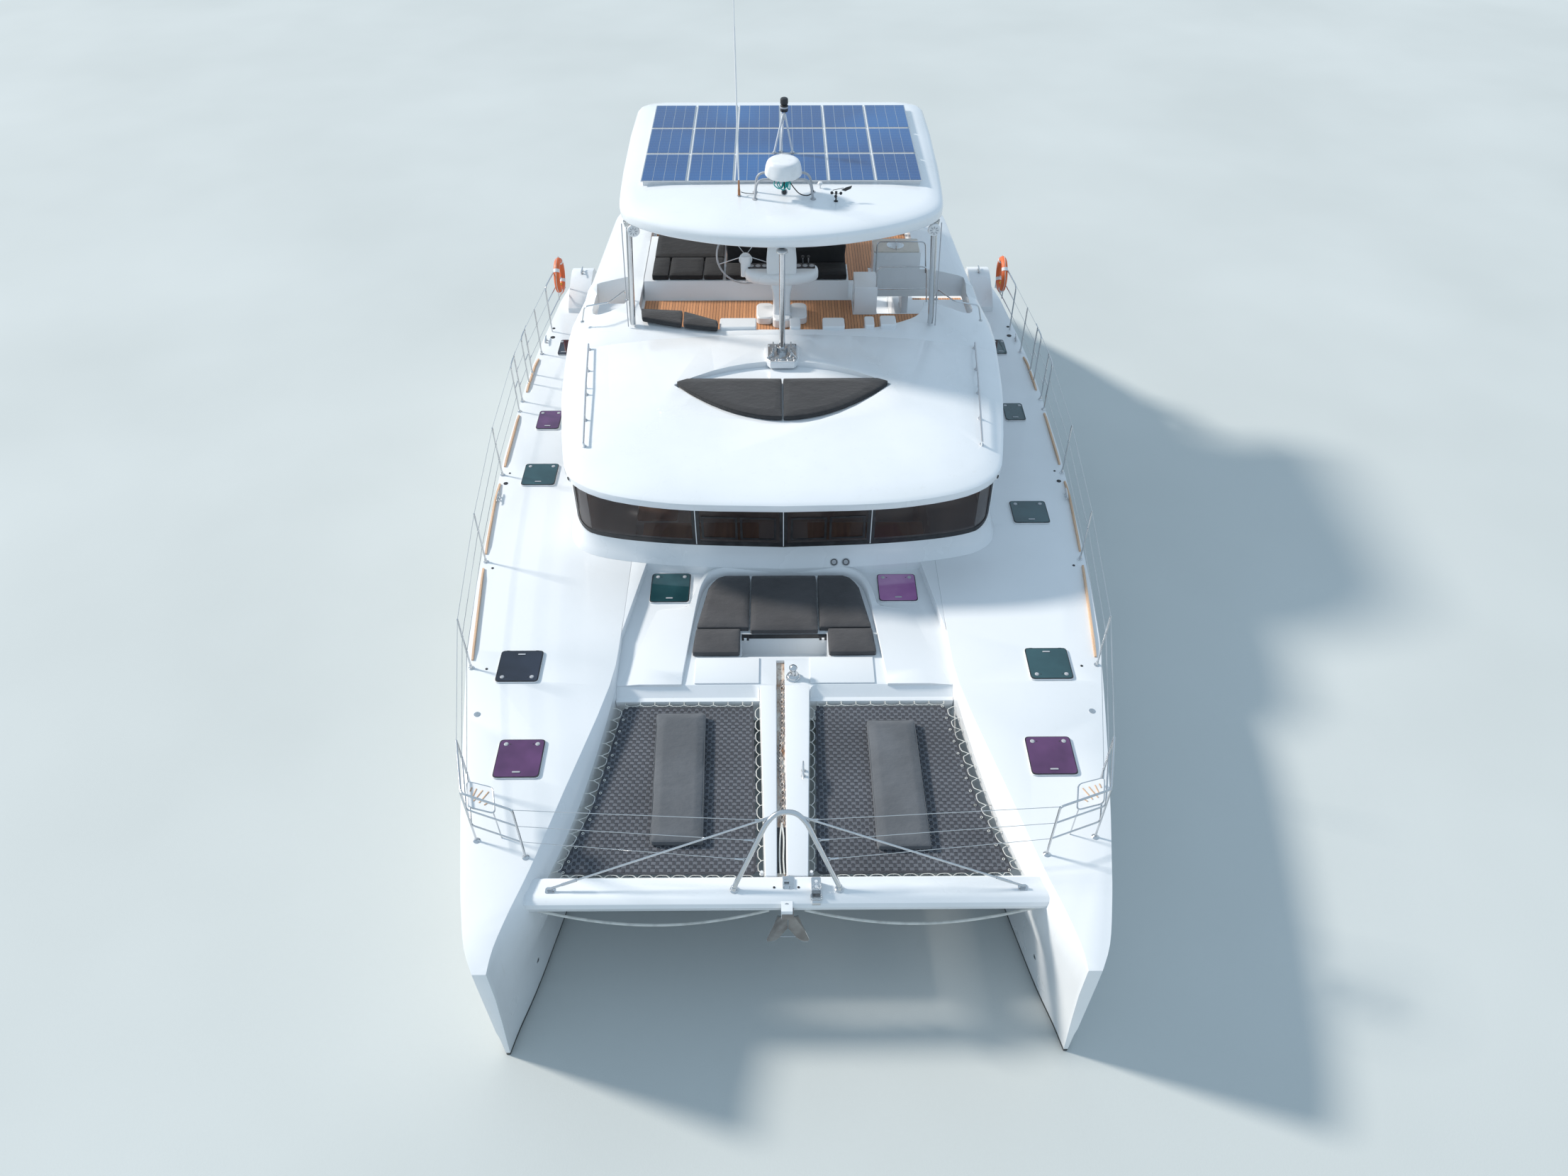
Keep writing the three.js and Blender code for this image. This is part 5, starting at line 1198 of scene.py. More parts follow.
def windlass_gear():
    shape = Shape()
    centre = at(0.125, 4.67, FOREDECK)
    shape.lathe(WINDLASS, centre, 32)
    for turn in angles(8):
        shape.lathe([(0.008, 0), (0.008, 0.012), (0.003, 0.014)],
                    centre + spoke(turn) * 0.075 + Vector((0, 0, 0.05)), 8)
    place("windlass_drum", shape, ["steel"], instead_of=["windlass"])
    chain = Shape()
    chain_links(chain, curve([at(*p) for p in CHAIN], 8))
    for x in (-0.085, -0.038):
        strand = [at(x + 0.012, 1.37, 1.962), at(x, 1.6, 1.955), at(x + 0.006, 1.9, 1.952),
                  at(-0.055, 2.14, 1.95)]
        chain.tube(curve(strand, 6), 0.011, 8, 2)
    for s0, s1, lift, slot in GUTTER_STRIPS:
        beds = [(x, s, max(BED_HIGH - BED_SLOPE * (s - BED_START), BED_LOW))
                for x, s in rect(GUTTER_X - GUTTER_HALF, GUTTER_X + GUTTER_HALF, s0, s1)]
        chain.skin([[at(x, s, z + up) for x, s, z in beds] for up in (-0.0005, lift)], slot)
    place("anchor_chain", chain, ["galvanised", "rusty", "rope", "black"])


# The outer end of a bridle rope as x, s, z, how far it runs inward, and how much it bows, sags and falls
BRIDLE_END = (3.05, 0.985, 1.80)
BRIDLE_RUN = 2.83
BRIDLE_BOW = 0.05
BRIDLE_SAG = 0.26
BRIDLE_FALL = 0.02
BRIDLE_STEPS = 24


def bridle():
    """Two ropes under the beam, which hang a little between their ends."""
    shape = Shape()
    x, s, z = BRIDLE_END
    for side in BOTH:
        route = []
        for t in (i / BRIDLE_STEPS for i in range(BRIDLE_STEPS + 1)):
            low = z - BRIDLE_SAG * 4 * t * (1 - t) - BRIDLE_FALL * t
            route.append(at(side * (x - BRIDLE_RUN * t), s - BRIDLE_BOW * math.sin(math.pi * t), low))
        shape.tube(route, 0.0175, 10)
        shape.tube([at(side * x, s, z), at(side * (x + 0.06), s + 0.075, z + 0.06)], 0.02, 10, 1)
    place("bridle_ropes", shape, ["rope", "steel"])


def bow_fittings():
    """The roller on the beam, a raised plate beside it, a sheave, and small round fittings."""
    shape = Shape()
    top = BEAM_TOP
    shape.plate(oblong(-0.05, 0.09, 1.14, 1.32, 0.015, 2), top, top + 0.006, 0, 0.002)
    for x in (-0.035, 0.035):
        shape.box(x - 0.005, x + 0.005, 1.16, 1.30, top, top + 0.06)
    shape.tube([at(-0.04, 1.24, top + 0.035), at(0.04, 1.24, top + 0.035)], 0.02, 14)
    shape.lathe([(0.03, 0), (0.03, 0.006), (0.02, 0.008)], at(0.0, 0.952, 1.955), 16, 0, turned(RING_TILT))
    shape.lathe([(0.012, 0), (0.012, 0.011)], at(0.0, 0.950, 1.956), 12, 1, turned(RING_TILT))
    shape.plate(oblong(0.30, 0.42, 1.06, 1.24, 0.02, 3), top + 0.10, top + 0.112, 0, 0.003)
    for x in (0.303, 0.409):
        shape.box(x, x + 0.008, 1.07, 1.23, top, top + 0.102)
    for s in (1.11, 1.18):
        shape.lathe([(0.02, 0), (0.02, 0.002)], at(0.36, s, top + 0.112), 14, 2)
    shape.plate(oblong(0.29, 0.43, 0.985, 1.07, 0.02, 3), top - 0.004, top + 0.018, 0, 0.004)
    shape.tube([at(0.31, 1.0, top - 0.05), at(0.41, 1.0, top - 0.05)], 0.045, 16)
    for x in (-0.155, 0.145):
        shape.lathe([(0.015, 0), (0.015, 0.006), (0.006, 0.01)], at(x, 1.165, top), 12, 1)
    for side in BOTH:
        shape.lathe([(0.03, 0), (0.022, 0.02), (0.02, 0.05)], at(side * 0.31, 1.40, 1.93), 12, 2)
    place("beam_fittings", shape, ["steel", "black", "white"])


# Small dark fittings on the side decks: x, s, radius
DECK_DOTS = [(4.831, 9.42, 0.02), (4.851, 9.126, 0.04), (4.669, 6.919, 0.022), (4.345, 4.731, 0.02),
             (4.755, 14.064, 0.05), (4.79, 14.429, 0.035)]
# A cleat's horns: distance along, height, radius
HORNS = [(-0.15, 0.058, 0.009), (-0.1, 0.066, 0.013), (-0.04, 0.06, 0.016), (0.04, 0.06, 0.016),
         (0.1, 0.066, 0.013), (0.15, 0.058, 0.009)]


def cleat(shape, centre, turn):
    ahead = Vector((math.sin(turn), math.cos(turn), 0))
    shape.tube([centre + ahead * k + Vector((0, 0, h)) for k, h, _ in HORNS], [r for _, _, r in HORNS], 10)
    for k in (-0.045, 0.045):
        shape.lathe([(0.03, 0), (0.022, 0.015), (0.015, 0.06)], centre + ahead * k, 12)


def deck_fittings():
    shape = Shape()
    for side in BOTH:
        for x, s in ((4.90, 8.70), (4.87, 13.9)):
            cleat(shape, at(side * x, s, DECK), side * 0.08)
        shape.lathe([(0.045, 0), (0.045, 0.006), (0.03, 0.009), (0.012, 0.009)],
                    at(side * 4.314, 3.87, DECK), 20)
        for x, s, radius in DECK_DOTS:
            shape.lathe([(radius, 0), (radius, 0.004), (0.8 * radius, 0.007)], at(side * x, s, DECK), 16, 1)
    cleat(shape, at(0.237, 2.913, 1.985), 0.03)
    place("deck_cleats", shape, ["steel", "black"])


# Hull fittings, which the photo doesn't show

# Windows in the hulls' outer sides: s and z of the middle, half length, half height
PORTLIGHTS = [(3.55, 1.50, 0.26, 0.085), (5.95, 1.47, 0.66, 0.125), (8.35, 1.45, 0.66, 0.125),
              (10.75, 1.43, 0.66, 0.125), (13.05, 1.42, 0.42, 0.115)]
# A pane and its border: how far they pass the outline, how far they stand out, look
PANE_LAYERS = [(0.022, 0.003, 1), (0.0, 0.006, 0)]
# Outlets through the hulls: s, z, inner side or not
OUTLETS = [(1.0, 0.54, True), (6.6, 0.30, False), (9.9, 0.26, False), (12.2, 0.34, False),
           (12.45, 0.34, False), (9.2, 0.30, True)]
STERN_CLEATS = [(3.0, 18.35), (4.33, 16.0)]
OUTSIDE = 7
# The ladder's side bars: x of both, s of their ends. Then the s of its rungs
LADDER_X = (3.22, 3.58)
LADDER_S = (17.62, 18.62)
RUNGS = (17.75, 17.98, 18.21, 18.44)


def portlight(shape, hull, side, spot, half_length, half_height, lift, slot):
    """A pane with rounded ends that follows the hull's side."""
    inward = Vector((-side, 0, 0))
    rings = []
    for i in range(17):
        u = -math.cos(math.pi * i / 16)
        v = max(0.12, (1 - u ** 4) ** 0.25)
        s = spot[0] + u * half_length
        starts = [at(side * OUTSIDE, s, spot[1] + row * half_height) for row in (-v, 0.0, v)]
        ring = [hull.ray_cast(p, inward)[0] for p in starts]
        rings.append([p - inward * lift for p in ring] + [p + inward * 0.02 for p in reversed(ring)])
    shape.skin(rings, slot)


def ladder(shape, side):
    """A boarding ladder folded flat on the bathing platform."""
    z = STERN_PLATFORM + 0.03
    front, back = LADDER_S
    for x in (side * bar for bar in LADDER_X):
        shape.tube([at(x, front, z), at(x, back, z)], 0.0125, 10)
        shape.lathe([(0.03, -0.03), (0.03, -0.022), (0.016, -0.012), (0.016, 0.0)], at(x, back - 0.02, z), 12)
        shape.lathe([(0.022, -0.03), (0.022, -0.02), (0.012, 0.0)], at(x, front + 0.04, z), 12)
    for s in RUNGS:
        shape.box(side * (LADDER_X[0] + 0.01), side * (LADDER_X[1] - 0.01), s - 0.03, s + 0.03, z - 0.009, z + 0.009, 2)


def hull_fittings():
    """Hull windows, outlets and the gear on the sterns."""
    for name, side in SIDES.items():
        hull = skin_of(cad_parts["hull_" + name].data)
        panes = Shape()
        for s, z, half_length, half_height in PORTLIGHTS:
            for more, lift, slot in PANE_LAYERS:
                portlight(panes, hull, side, (s, z), half_length + more, half_height + more, lift, slot)
        place("hull_windows_" + name, panes, ["smoke", "black"])
        shape = Shape()
        for s, z, inner in OUTLETS:
            start, way = (0, side) if inner else (side * OUTSIDE, -side)
            spot, normal = hull.ray_cast(at(start, s, z), Vector((way, 0, 0)))[:2]
            if spot is None:
                continue
            facing = normal.to_track_quat("Z", "Y").to_matrix()
            shape.lathe([(0.036, -0.01), (0.036, 0.004), (0.028, 0.008), (0.022, 0.004)], spot, 18, 0, facing)
            shape.lathe([(0.022, -0.01), (0.021, 0.0065)], spot, 14, 1, facing)
        for x, s in STERN_CLEATS:
            cleat(shape, hull.ray_cast(at(side * x, s, 4), Vector((0, 0, -1)))[0], 0.0)
        ladder(shape, side)
        place("hull_fittings_" + name, shape, ["steel", "black", "teak_plain"])


# Solar panels: six across and three along, each with four columns of cells

PANEL_X = (-2.365, 2.365)
PANEL_S = (11.955, 15.435)
PANEL_Z = 6.262
PANEL_COUNT = (6, 3)
PANEL_GAP = (0.03, 0.05)
PANEL_BORDER = 0.016
CELL_GAP = 0.008


def solar_panels():
    """Satin aluminium frames on a white base, each around four columns of blue cells."""
    shape = Shape()
    (left, right), (front, back), (columns, rows), (gap_x, gap_s) = PANEL_X, PANEL_S, PANEL_COUNT, PANEL_GAP
    width = (right - left - gap_x * (columns - 1)) / columns
    length = (back - front - gap_s * (rows - 1)) / rows
    cell = (width - 2 * PANEL_BORDER - 3 * CELL_GAP) / 4
    shape.plate(inset(rect(left, right, front, back), 0.03), PANEL_Z - 0.13, PANEL_Z + 0.014, 2, 0.003)
    for i in range(columns):
        for j in range(rows):
            x, s = left + i * (width + gap_x), front + j * (length + gap_s)
            shape.plate(rect(x, x + width, s, s + length), PANEL_Z + 0.01, PANEL_Z + 0.0275, 1, 0.002)
            for k in range(4):
                start = x + PANEL_BORDER + k * (cell + CELL_GAP)
                shape.box(start, start + cell, s + PANEL_BORDER, s + length - PANEL_BORDER, PANEL_Z + 0.022,
                          PANEL_Z + 0.0295)
    for x in (-2.25, -0.75, 0.75, 2.25):
        for s in (12.05, 13.70, 15.34):
            shape.box(x - 0.025, x + 0.025, s - 0.025, s + 0.025, 6.14, PANEL_Z - 0.002, 1)
    place("solar_panels", shape, ["cells", "satin", "white"], instead_of=["solar_array"])


# Hardtop gear

DOME = [(0.24, 0), (0.285, 0.008), (0.303, 0.03), (0.3045, 0.06), (0.300, 0.09), (0.29, 0.15), (0.272, 0.205),
        (0.258, 0.23), (0.235, 0.247), (0.18, 0.256), (0.09, 0.259), (0.02, 0.26)]
# The hoops that carry the dome: x, z
HOOP = [(-0.44, 6.23), (-0.40, 6.56), (0.46, 6.56), (0.52, 6.23)]
DOME_CABLE = [(0.10, 11.42, 6.545), (0.20, 11.36, 6.42), (0.30, 11.33, 6.33), (0.42, 11.36, 6.29),
              (0.50, 11.42, 6.30), (0.53, 11.44, 6.34)]


def radar_gear():
    """The dome on its two hoops, a horn under it, cables, and a small white aerial."""
    shape = Shape()
    for s in (11.36, 11.63):
        shape.bent([at(x, s, z) for x, z in HOOP], 0.14, 6, 0.0195, 14, 1)
        for x, z in (HOOP[0], HOOP[3]):
            shape.lathe([(0.045, 0), (0.045, 0.008), (0.02, 0.014)], at(x, s, z), 16, 1)
    shape.plate(oblong(-0.19, 0.25, 11.33, 11.67), 6.545, 6.572, 1, 0.004)
    shape.lathe(DOME, at(0.03, 11.5, 6.571), 48, 0)
    for x in (-0.13, 0.19):
        for s in (11.40, 11.60):
            shape.lathe([(0.016, 0), (0.016, 0.02), (0.01, 0.022)], at(x, s, 6.528), 10, 2)
    forward = turned(math.radians(70))
    horn = at(0.045, 11.33, 6.36)
    shape.lathe([(0.045, 0.0), (0.052, 0.01), (0.052, 0.035), (0.045, 0.04)], horn, 20, 1, forward)
    shape.lathe([(0.02, -0.06), (0.035, -0.02), (0.04, 0.03), (0.036, 0.044)], horn, 20, 2, forward)
    shape.tube([horn + Vector((0, 0.03, 0)), at(0.045, 11.36, 6.545)], 0.012, 8, 2)
    for i in range(6):
        swing = 0.05 * math.sin(2.3 * i)
        cable = [at(-0.10 + 0.045 * i, 11.42, 6.545), at(-0.12 + 0.05 * i + swing, 11.35, 6.47),
                 at(-0.02 + 0.03 * i, 11.33 + swing, 6.42), at(0.04 + 0.02 * i, 11.40, 6.545)]
        shape.tube(curve(cable), 0.009, 8, 3)
    shape.tube(curve([at(*p) for p in DOME_CABLE]), 0.009, 8, 2)
    shape.lathe([(0.012, 0), (0.012, 0.05), (0.034, 0.055), (0.045, 0.075), (0.035, 0.10), (0.01, 0.11)],
                at(0.645, 11.78, 6.235), 16, 0)
    place("radar_dome", shape, ["white", "grey", "black", "turquoise"], instead_of=["radar"])


FIN = [(0.08, 0.02, -0.01), (0.15, 0.03, -0.035), (0.24, 0.05, 0.0), (0.26, 0.05, 0.05), (0.16, 0.03, 0.03)]


def wind_sensor():
    shape = Shape()
    foot = at(0.89, 11.28, 6.225)
    shape.lathe([(0.035, 0), (0.035, 0.01), (0.012, 0.016), (0.012, 0.13), (0.02, 0.135), (0.02, 0.165),
                 (0.008, 0.17)], foot, 14)
    hub = foot + Vector((0, 0, 0.12))
    for turn in angles(3):
        tip = hub + spoke(turn + 0.4) * 0.085
        shape.tube([hub, tip], 0.004, 6)
        shape.lathe([(0.004, -0.026), (0.02, -0.018), (0.026, 0), (0.02, 0.018), (0.004, 0.026)], tip, 12)
    high = hub + Vector((0, 0, 0.07))
    shape.tube([high - Vector((0.06, 0.01, 0)), high + Vector((0.12, 0.03, 0.02))], 0.005, 6)
    shape.skin([[high + Vector((x, y + d, z)) for x, y, z in FIN] for d in (-0.002, 0.002)])
    place("wind_sensor", shape, ["black"])


LAMP_TOP = 7.15
STAND_BASE = 6.2965
LAMP = [(0.054, -0.16), (0.064, -0.15), (0.067, -0.13), (0.067, -0.055), (0.056, -0.044), (0.046, -0.042),
        (0.046, -0.034), (0.056, -0.032), (0.067, -0.024), (0.067, 0.045), (0.058, 0.062), (0.038, 0.072),
        (0.012, 0.075)]


def light_stand():
    """A tripod with a collar and a double lamp."""
    shape = Shape()
    top = at(0.055, 13.15, LAMP_TOP)
    head = top - Vector((0, 0, 0.2))
    shape.lathe([(0.03, -0.01), (0.024, 0)], head, 16)
    for dx, ds in ((-0.175, -0.03), (-0.06, 0.03), (0.145, -0.02)):
        foot = Vector((top.x + dx, top.y + ds, STAND_BASE + 0.006))
        shape.tube([foot, head + Vector((dx, ds, 0)) * 0.1], 0.017, 12, 3)
        shape.lathe([(0.038, 0), (0.038, 0.006), (0.018, 0.014)], foot, 16)
    shape.tube([top - Vector((0, 0, 0.3)), top - Vector((0, 0, 0.17))], 0.021, 14)
    shape.lathe(LAMP, top, 28, 1)
    shape.lathe([(0.0675, -0.10), (0.0695, -0.095), (0.0695, -0.078), (0.0675, -0.073)], top, 28, 2)
    place("light_stand", shape, ["steel", "black", "grey", "white"], instead_of=["light_mast"])


def whip():
    """A tall rod, thicker at its foot, with its cable."""
    shape = Shape()
    foot = at(-0.70, 11.48, 0)
    shape.lathe([(0.034, 6.236), (0.034, 6.244), (0.022, 6.25)], foot, 16, 2)
    shape.lathe([(0.022, 6.24), (0.022, 6.33), (0.018, 6.36), (0.014, 6.5)], foot, 16, 1)
    shape.lathe([(0.0125, 6.49), (0.0115, 8.8), (0.008, 8.83), (0.0035, 11.395), (0.001, 11.4)], foot, 12, 0)
    cable = [foot + Vector(p) for p in ((0.03, 0, 6.30), (0.12, 0.04, 6.26), (0.3, 0.02, 6.256))]
    shape.tube(curve(cable), 0.006, 6, 3)
    place("whip_rod", shape, ["white", "teak_plain", "steel", "black"],
          instead_of=["whip_antenna"])


def post_heads():
    """A round speaker at the head of each front post, and a thin rod beside the post."""
    shape = Shape()
    for side, x in ((-1, -2.46), (1, 2.53)):
        centre = at(x, 11.17, 5.78)
        shape.lathe([(0.06, -0.04), (0.10, -0.03), (0.106, 0.0), (0.10, 0.022), (0.09, 0.028)], centre, 28, 0,
                    turned(TURN / 4))
        face = centre - Vector((0, 0.032, 0))
        for turn in angles(8):
            out = Vector((math.cos(turn), 0, math.sin(turn)))
            shape.tube([face + out * 0.03, face + out * 0.068], [0.004, 0.010], 6, 1)
        shape.tube([at(side * 2.735, 11.30, 3.93), at(side * 2.66, 11.27, 5.86)], 0.009, 8, 1)
        shape.tube([at(side * 2.55, 11.30, 5.80), centre + Vector((0, 0.03, 0))], 0.03, 10, 1)
    place("post_speakers", shape, ["white", "grey"])


MAST_STEP = [(-0.20, 9.93), (0.20, 9.93), (0.28, 10.05), (0.30, 10.42), (0.25, 10.52), (-0.25, 10.52),
             (-0.30, 10.42), (-0.28, 10.05)]
STEP_AHEAD = [(-0.21, 9.94), (0.21, 9.94), (0.25, 10.004), (-0.25, 10.004)]


def centre_post_gear():
    """The white mast step under the centre post, its steel plate, and the fittings around the post."""
    shape = Shape()
    z = ROOF_PAD + 0.0255
    shape.plate(MAST_STEP, 3.90, ROOF_PAD + 0.004, 1, 0.012)
    shape.plate(STEP_AHEAD, ROOF_PAD, z, 0, 0.003)
    for x in (-0.21, -0.10, 0.10, 0.21):
        for s in (9.975, 10.05, 10.44):
            shape.lathe([(0.02, 0), (0.02, 0.012), (0.008, 0.018)], at(x, s, z), 12)
    for x in (-0.165, 0.165):
        shape.lathe([(0.035, 0), (0.035, 0.02), (0.02, 0.03), (0.02, 0.055), (0.03, 0.06), (0.03, 0.07),
                     (0.01, 0.074)], at(x, 10.14, z), 16)
        shape.tube([at(x, 10.12, z + 0.05), at(x * 1.5, 10.0, z + 0.02)], 0.014, 10)
    place("mast_step_gear", shape, ["steel", "gelcoat"])


# Roof and flybridge

# Grab rails along the coachroof: x, s, z
GRAB_RAIL = [(3.13, 7.95, 3.80), (3.29, 9.60, 3.85), (3.405, 10.87, 3.83)]
# Low white blocks behind the front coaming, from x to x
COAMING_BLOCKS = [(-1.10, -0.45), (0.14, 0.33), (0.72, 1.11), (1.47, 1.64), (1.75, 2.03)]
STAIR_RAILS = [[(1.72, 12.03, 3.76), (1.72, 12.03, 4.68), (2.60, 12.05, 4.68), (2.66, 12.05, 3.93)],
               [(1.80, 13.20, 3.76), (1.80, 13.20, 4.60), (2.70, 13.20, 4.60), (2.76, 13.22, 3.96)]]
SIDE_GRIP = [(2.85, 12.2, 3.96), (2.86, 12.18, 4.17), (3.09, 11.68, 4.20), (3.52, 11.56, 4.18),
             (3.60, 11.60, 3.86)]


def roof_rails():
    shape = Shape()
    roof = skin_of(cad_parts["coachroof"].data)
    for side in BOTH:
        bar = [at(*p) for p in sided(GRAB_RAIL, side)]
        shape.tube(bar, 0.0165, 12)
        for share in (0.01, 0.25, 0.5, 0.75, 0.99):
            spot = along(bar, share)
            beside = roof.ray_cast(spot + Vector((-side * 0.07, 0, 0.3)), Vector((0, 0, -1)))[0]
            foot = Vector((spot.x, spot.y, beside.z))
            shape.lathe([(0.034, -0.03), (0.034, 0.004), (0.018, 0.012), (0.013, spot.z - foot.z)], foot, 14)
    place("roof_grab_rails", shape, ["satin"])


def flybridge_fittings():
    """Blocks behind the coaming, guard rails at the stairs, grips, deck lights and the bulkhead's vents."""
    blocks = Shape()
    for x0, x1 in COAMING_BLOCKS:
        s = 11.06 + 0.07 * max(0.0, abs(x0 + x1) / 2 - 0.9)
        blocks.plate(oblong(x0, x1, s, s + 0.33, 0.04, 3), FLY_FLOOR + 0.001, 4.045, 0, 0.015)
    place("coaming_blocks", blocks, ["gelcoat"])
    rail = Shape()
    for path in STAIR_RAILS:
        rail.bent([at(*p) for p in path], 0.09, 5, POST, 10)
    rail.tube([at(1.72, 12.03, 4.25), at(2.64, 12.05, 4.25)], 0.011, 10)
    for side in BOTH:
        grip = [at(*p) for p in sided(SIDE_GRIP, side)]
        rail.bent(grip, 0.07, 4, POST, 10)
        for end in (grip[0], grip[-1]):
            rail.lathe([(0.035, -0.01), (0.035, 0.006), (0.016, 0.014)], end, 14)
        light = at(side * 3.31, 7.42, 3.52)
        facing = Vector((side * 0.78, -0.62, 0.1)).to_track_quat("Z", "Y").to_matrix()
        rail.lathe([(0.05, -0.03), (0.05, 0.015), (0.04, 0.022)], light, 20, 1, facing)
        rail.lathe([(0.032, 0.02), (0.03, 0.026)], light, 20, 2, facing)
    tilt = turned(math.radians(52))
    for x in (0.81, 1.0):
        vent = at(x, 6.95, 2.17)
        rail.lathe([(0.066, -0.03), (0.066, 0.004), (0.056, 0.008)], vent, 24, 3, tilt)
        rail.lathe([(0.052, 0.0), (0.052, 0.010), (0.03, 0.007)], vent, 24, 2, tilt)
    place("flybridge_rails", rail, ["steel", "white", "black", "grey"])


# Chests on the flybridge: x from and to, s of the aft face, floor, top, doors
CHESTS = [(1.33, 1.74, 12.60, 3.77, 4.27, 1), (1.75, 2.60, 13.80, 3.79, 4.32, 2),
          (-0.95, 1.20, 13.30, 3.77, 4.07, 4)]
DOOR_GAP = 0.035
# A door's layers: inset, how far it stands out
DOOR_LAYERS = [(0.0, -0.002), (0.0, 0.008), (0.008, 0.012)]
TAP = [(0, -0.2, 0), (0, -0.2, 0.13), (0, -0.06, 0.13), (0, -0.06, 0.10)]


def flybridge_lockers():
    """Doors with round latches on the aft faces of the chests, and a worktop with a basin."""
    shape = Shape()
    for x0, x1, s, low, high, doors in CHESTS:
        wide = (x1 - x0 - DOOR_GAP * (doors + 1)) / doors
        for i in range(doors):
            a = x0 + DOOR_GAP + i * (wide + DOOR_GAP)
            rings = []
            for by, out in DOOR_LAYERS:
                corners = oblong(a + by, a + wide - by, low + DOOR_GAP + by, high - DOOR_GAP - by, 0.03, 3)
                rings.append([at(x, s + out, z) for x, z in corners])
            shape.skin(rings)
            latch = at(a + wide / 2, s + 0.012, high - DOOR_GAP - 0.06)
            shape.lathe([(0.022, 0), (0.022, 0.003), (0.016, 0.005), (0.012, 0.003)], latch, 18, 1,
                        turned(-TURN / 4))
    x0, x1 = CHESTS[1][:2]
    shape.plate(oblong(x0 + 0.01, x1 + 0.02, 13.26, 13.80, 0.03, 3), 4.3505, 4.375, 2, 0.006)
    basin = at((x0 + x1) / 2, 13.52, 4.3755)
    shape.lathe([(0.165, 0), (0.165, 0.003), (0.15, 0.004), (0.14, -0.004), (0.05, -0.009)], basin, 32, 1)
    shape.bent([basin + Vector(p) for p in TAP], 0.05, 4, 0.011, 10, 1)
    place("flybridge_lockers", shape, ["gelcoat", "steel", "cream_top"])


# Helm

WHEEL = (-0.64, 12.27, 4.79)
WHEEL_RADIUS = 0.52
WHEEL_RIM = 0.017
WHEEL_LEAN = 0.06
# Steps at the console's foot: x from and to, front, top
HELM_STEPS = [(-0.46, -0.15, 11.64, 3.90), (0.15, 0.46, 11.64, 3.90), (-0.165, 0.165, 11.51, 3.93)]
# Levels of the column and of the screen's hood: z, half breadth, front, back
HELM_COLUMN = [(3.88, 0.17, 11.69, 12.06), (4.05, 0.15, 11.72, 12.06), (4.3, 0.165, 11.76, 12.10),
               (4.46, 0.21, 11.79, 12.15)]
HELM_HOOD = [(4.67, 0.265, 11.80, 12.01), (4.9, 0.268, 11.83, 12.01), (5.08, 0.25, 11.86, 12.0),
             (5.125, 0.21, 11.89, 11.98)]
POD_HALF = [(0.33, 11.775), (0.56, 11.86), (0.66, 11.98), (0.66, 12.19)]
# Levels of the pod: inset, z
POD_LEVELS = [(0.07, 4.45), (0.02, 4.47), (0.0, 4.51), (0.0, 4.60), (0.015, 4.645), (0.05, 4.675),
              (0.10, 4.68)]


def helm():
    """The console: steps, column, pod with dials and throttles, hooded screen and the wheel's boss."""
    shape = Shape()
    for x0, x1, s0, top in HELM_STEPS:
        shape.plate(oblong(x0, x1, s0, 12.20, 0.12, 6), FLY_FLOOR + 0.001, top, 0, 0.02)
    for levels, radius, steps in ((HELM_COLUMN, 0.07, 5), (HELM_HOOD, 0.05, 4)):
        shape.stack([(oblong(-half, half, front, back, radius, steps), z) for z, half, front, back in levels])
    pod = rounded(sided(POD_HALF[::-1], -1) + [(0.0, 11.74)] + POD_HALF, 0.10, 5)
    shape.stack([(inset(pod, by), z) for by, z in POD_LEVELS])
    shape.plate(oblong(-0.60, 0.60, 11.99, 12.17, 0.03), 4.675, 4.69, 1, 0.003)
    for x in (-0.54, -0.42, -0.30, 0.30, 0.42, 0.54):
        shape.lathe([(0.045, 0), (0.045, 0.01), (0.038, 0.014)], at(x, 12.07, 4.69), 24, 2)
    shape.box(-0.235, 0.235, 12.004, 12.018, 4.74, 5.04, 1)
    for x in (0.38, 0.48):
        shape.tube([at(x, 12.14, 4.69), at(x, 12.12, 4.83)], 0.012, 10, 3)
        shape.lathe([(0.01, 0), (0.026, 0.01), (0.028, 0.03), (0.01, 0.045)], at(x, 12.12, 4.82), 14, 1)
    shape.lathe([(0.10, -0.20), (0.12, -0.17), (0.11, -0.12), (0.082, -0.06), (0.074, -0.046),
                 (0.04, -0.046)], at(*WHEEL), 28, 0, turned(-TURN / 4 - WHEEL_LEAN))
    shape.plate(oblong(WHEEL[0] - 0.09, WHEEL[0] + 0.09, 12.03, 12.13), 4.49, 4.88, 0, 0.012)
    place("helm_station", shape, ["gelcoat", "black", "grey", "steel"],
          instead_of=["helm_console"])


def wheel():
    shape = Shape()
    tilt = turned(-TURN / 4 - WHEEL_LEAN)
    centre = at(*WHEEL)
    shape.ring(centre, WHEEL_RADIUS, WHEEL_RIM, 64, 12, 0, tilt)
    for turn in angles(5, 0.25):
        shape.tube([centre + tilt @ (spoke(turn) * r) for r in (0.03, WHEEL_RADIUS - 0.01)], 0.0085, 10, 1)
    shape.lathe([(0.021, -0.19), (0.021, -0.016)], centre, 24, 1, tilt)
    shape.lathe([(0.040, -0.016), (0.048, -0.008), (0.048, 0.008), (0.040, 0.016), (0.02, 0.026),
                 (0.006, 0.03)], centre, 28, 1, tilt)
    place("wheel_rim", shape, ["grey", "steel"], "helm_wheel", ["helm_wheel"])


# Windows: frames on the saloon's glass, and panes in the aft wall

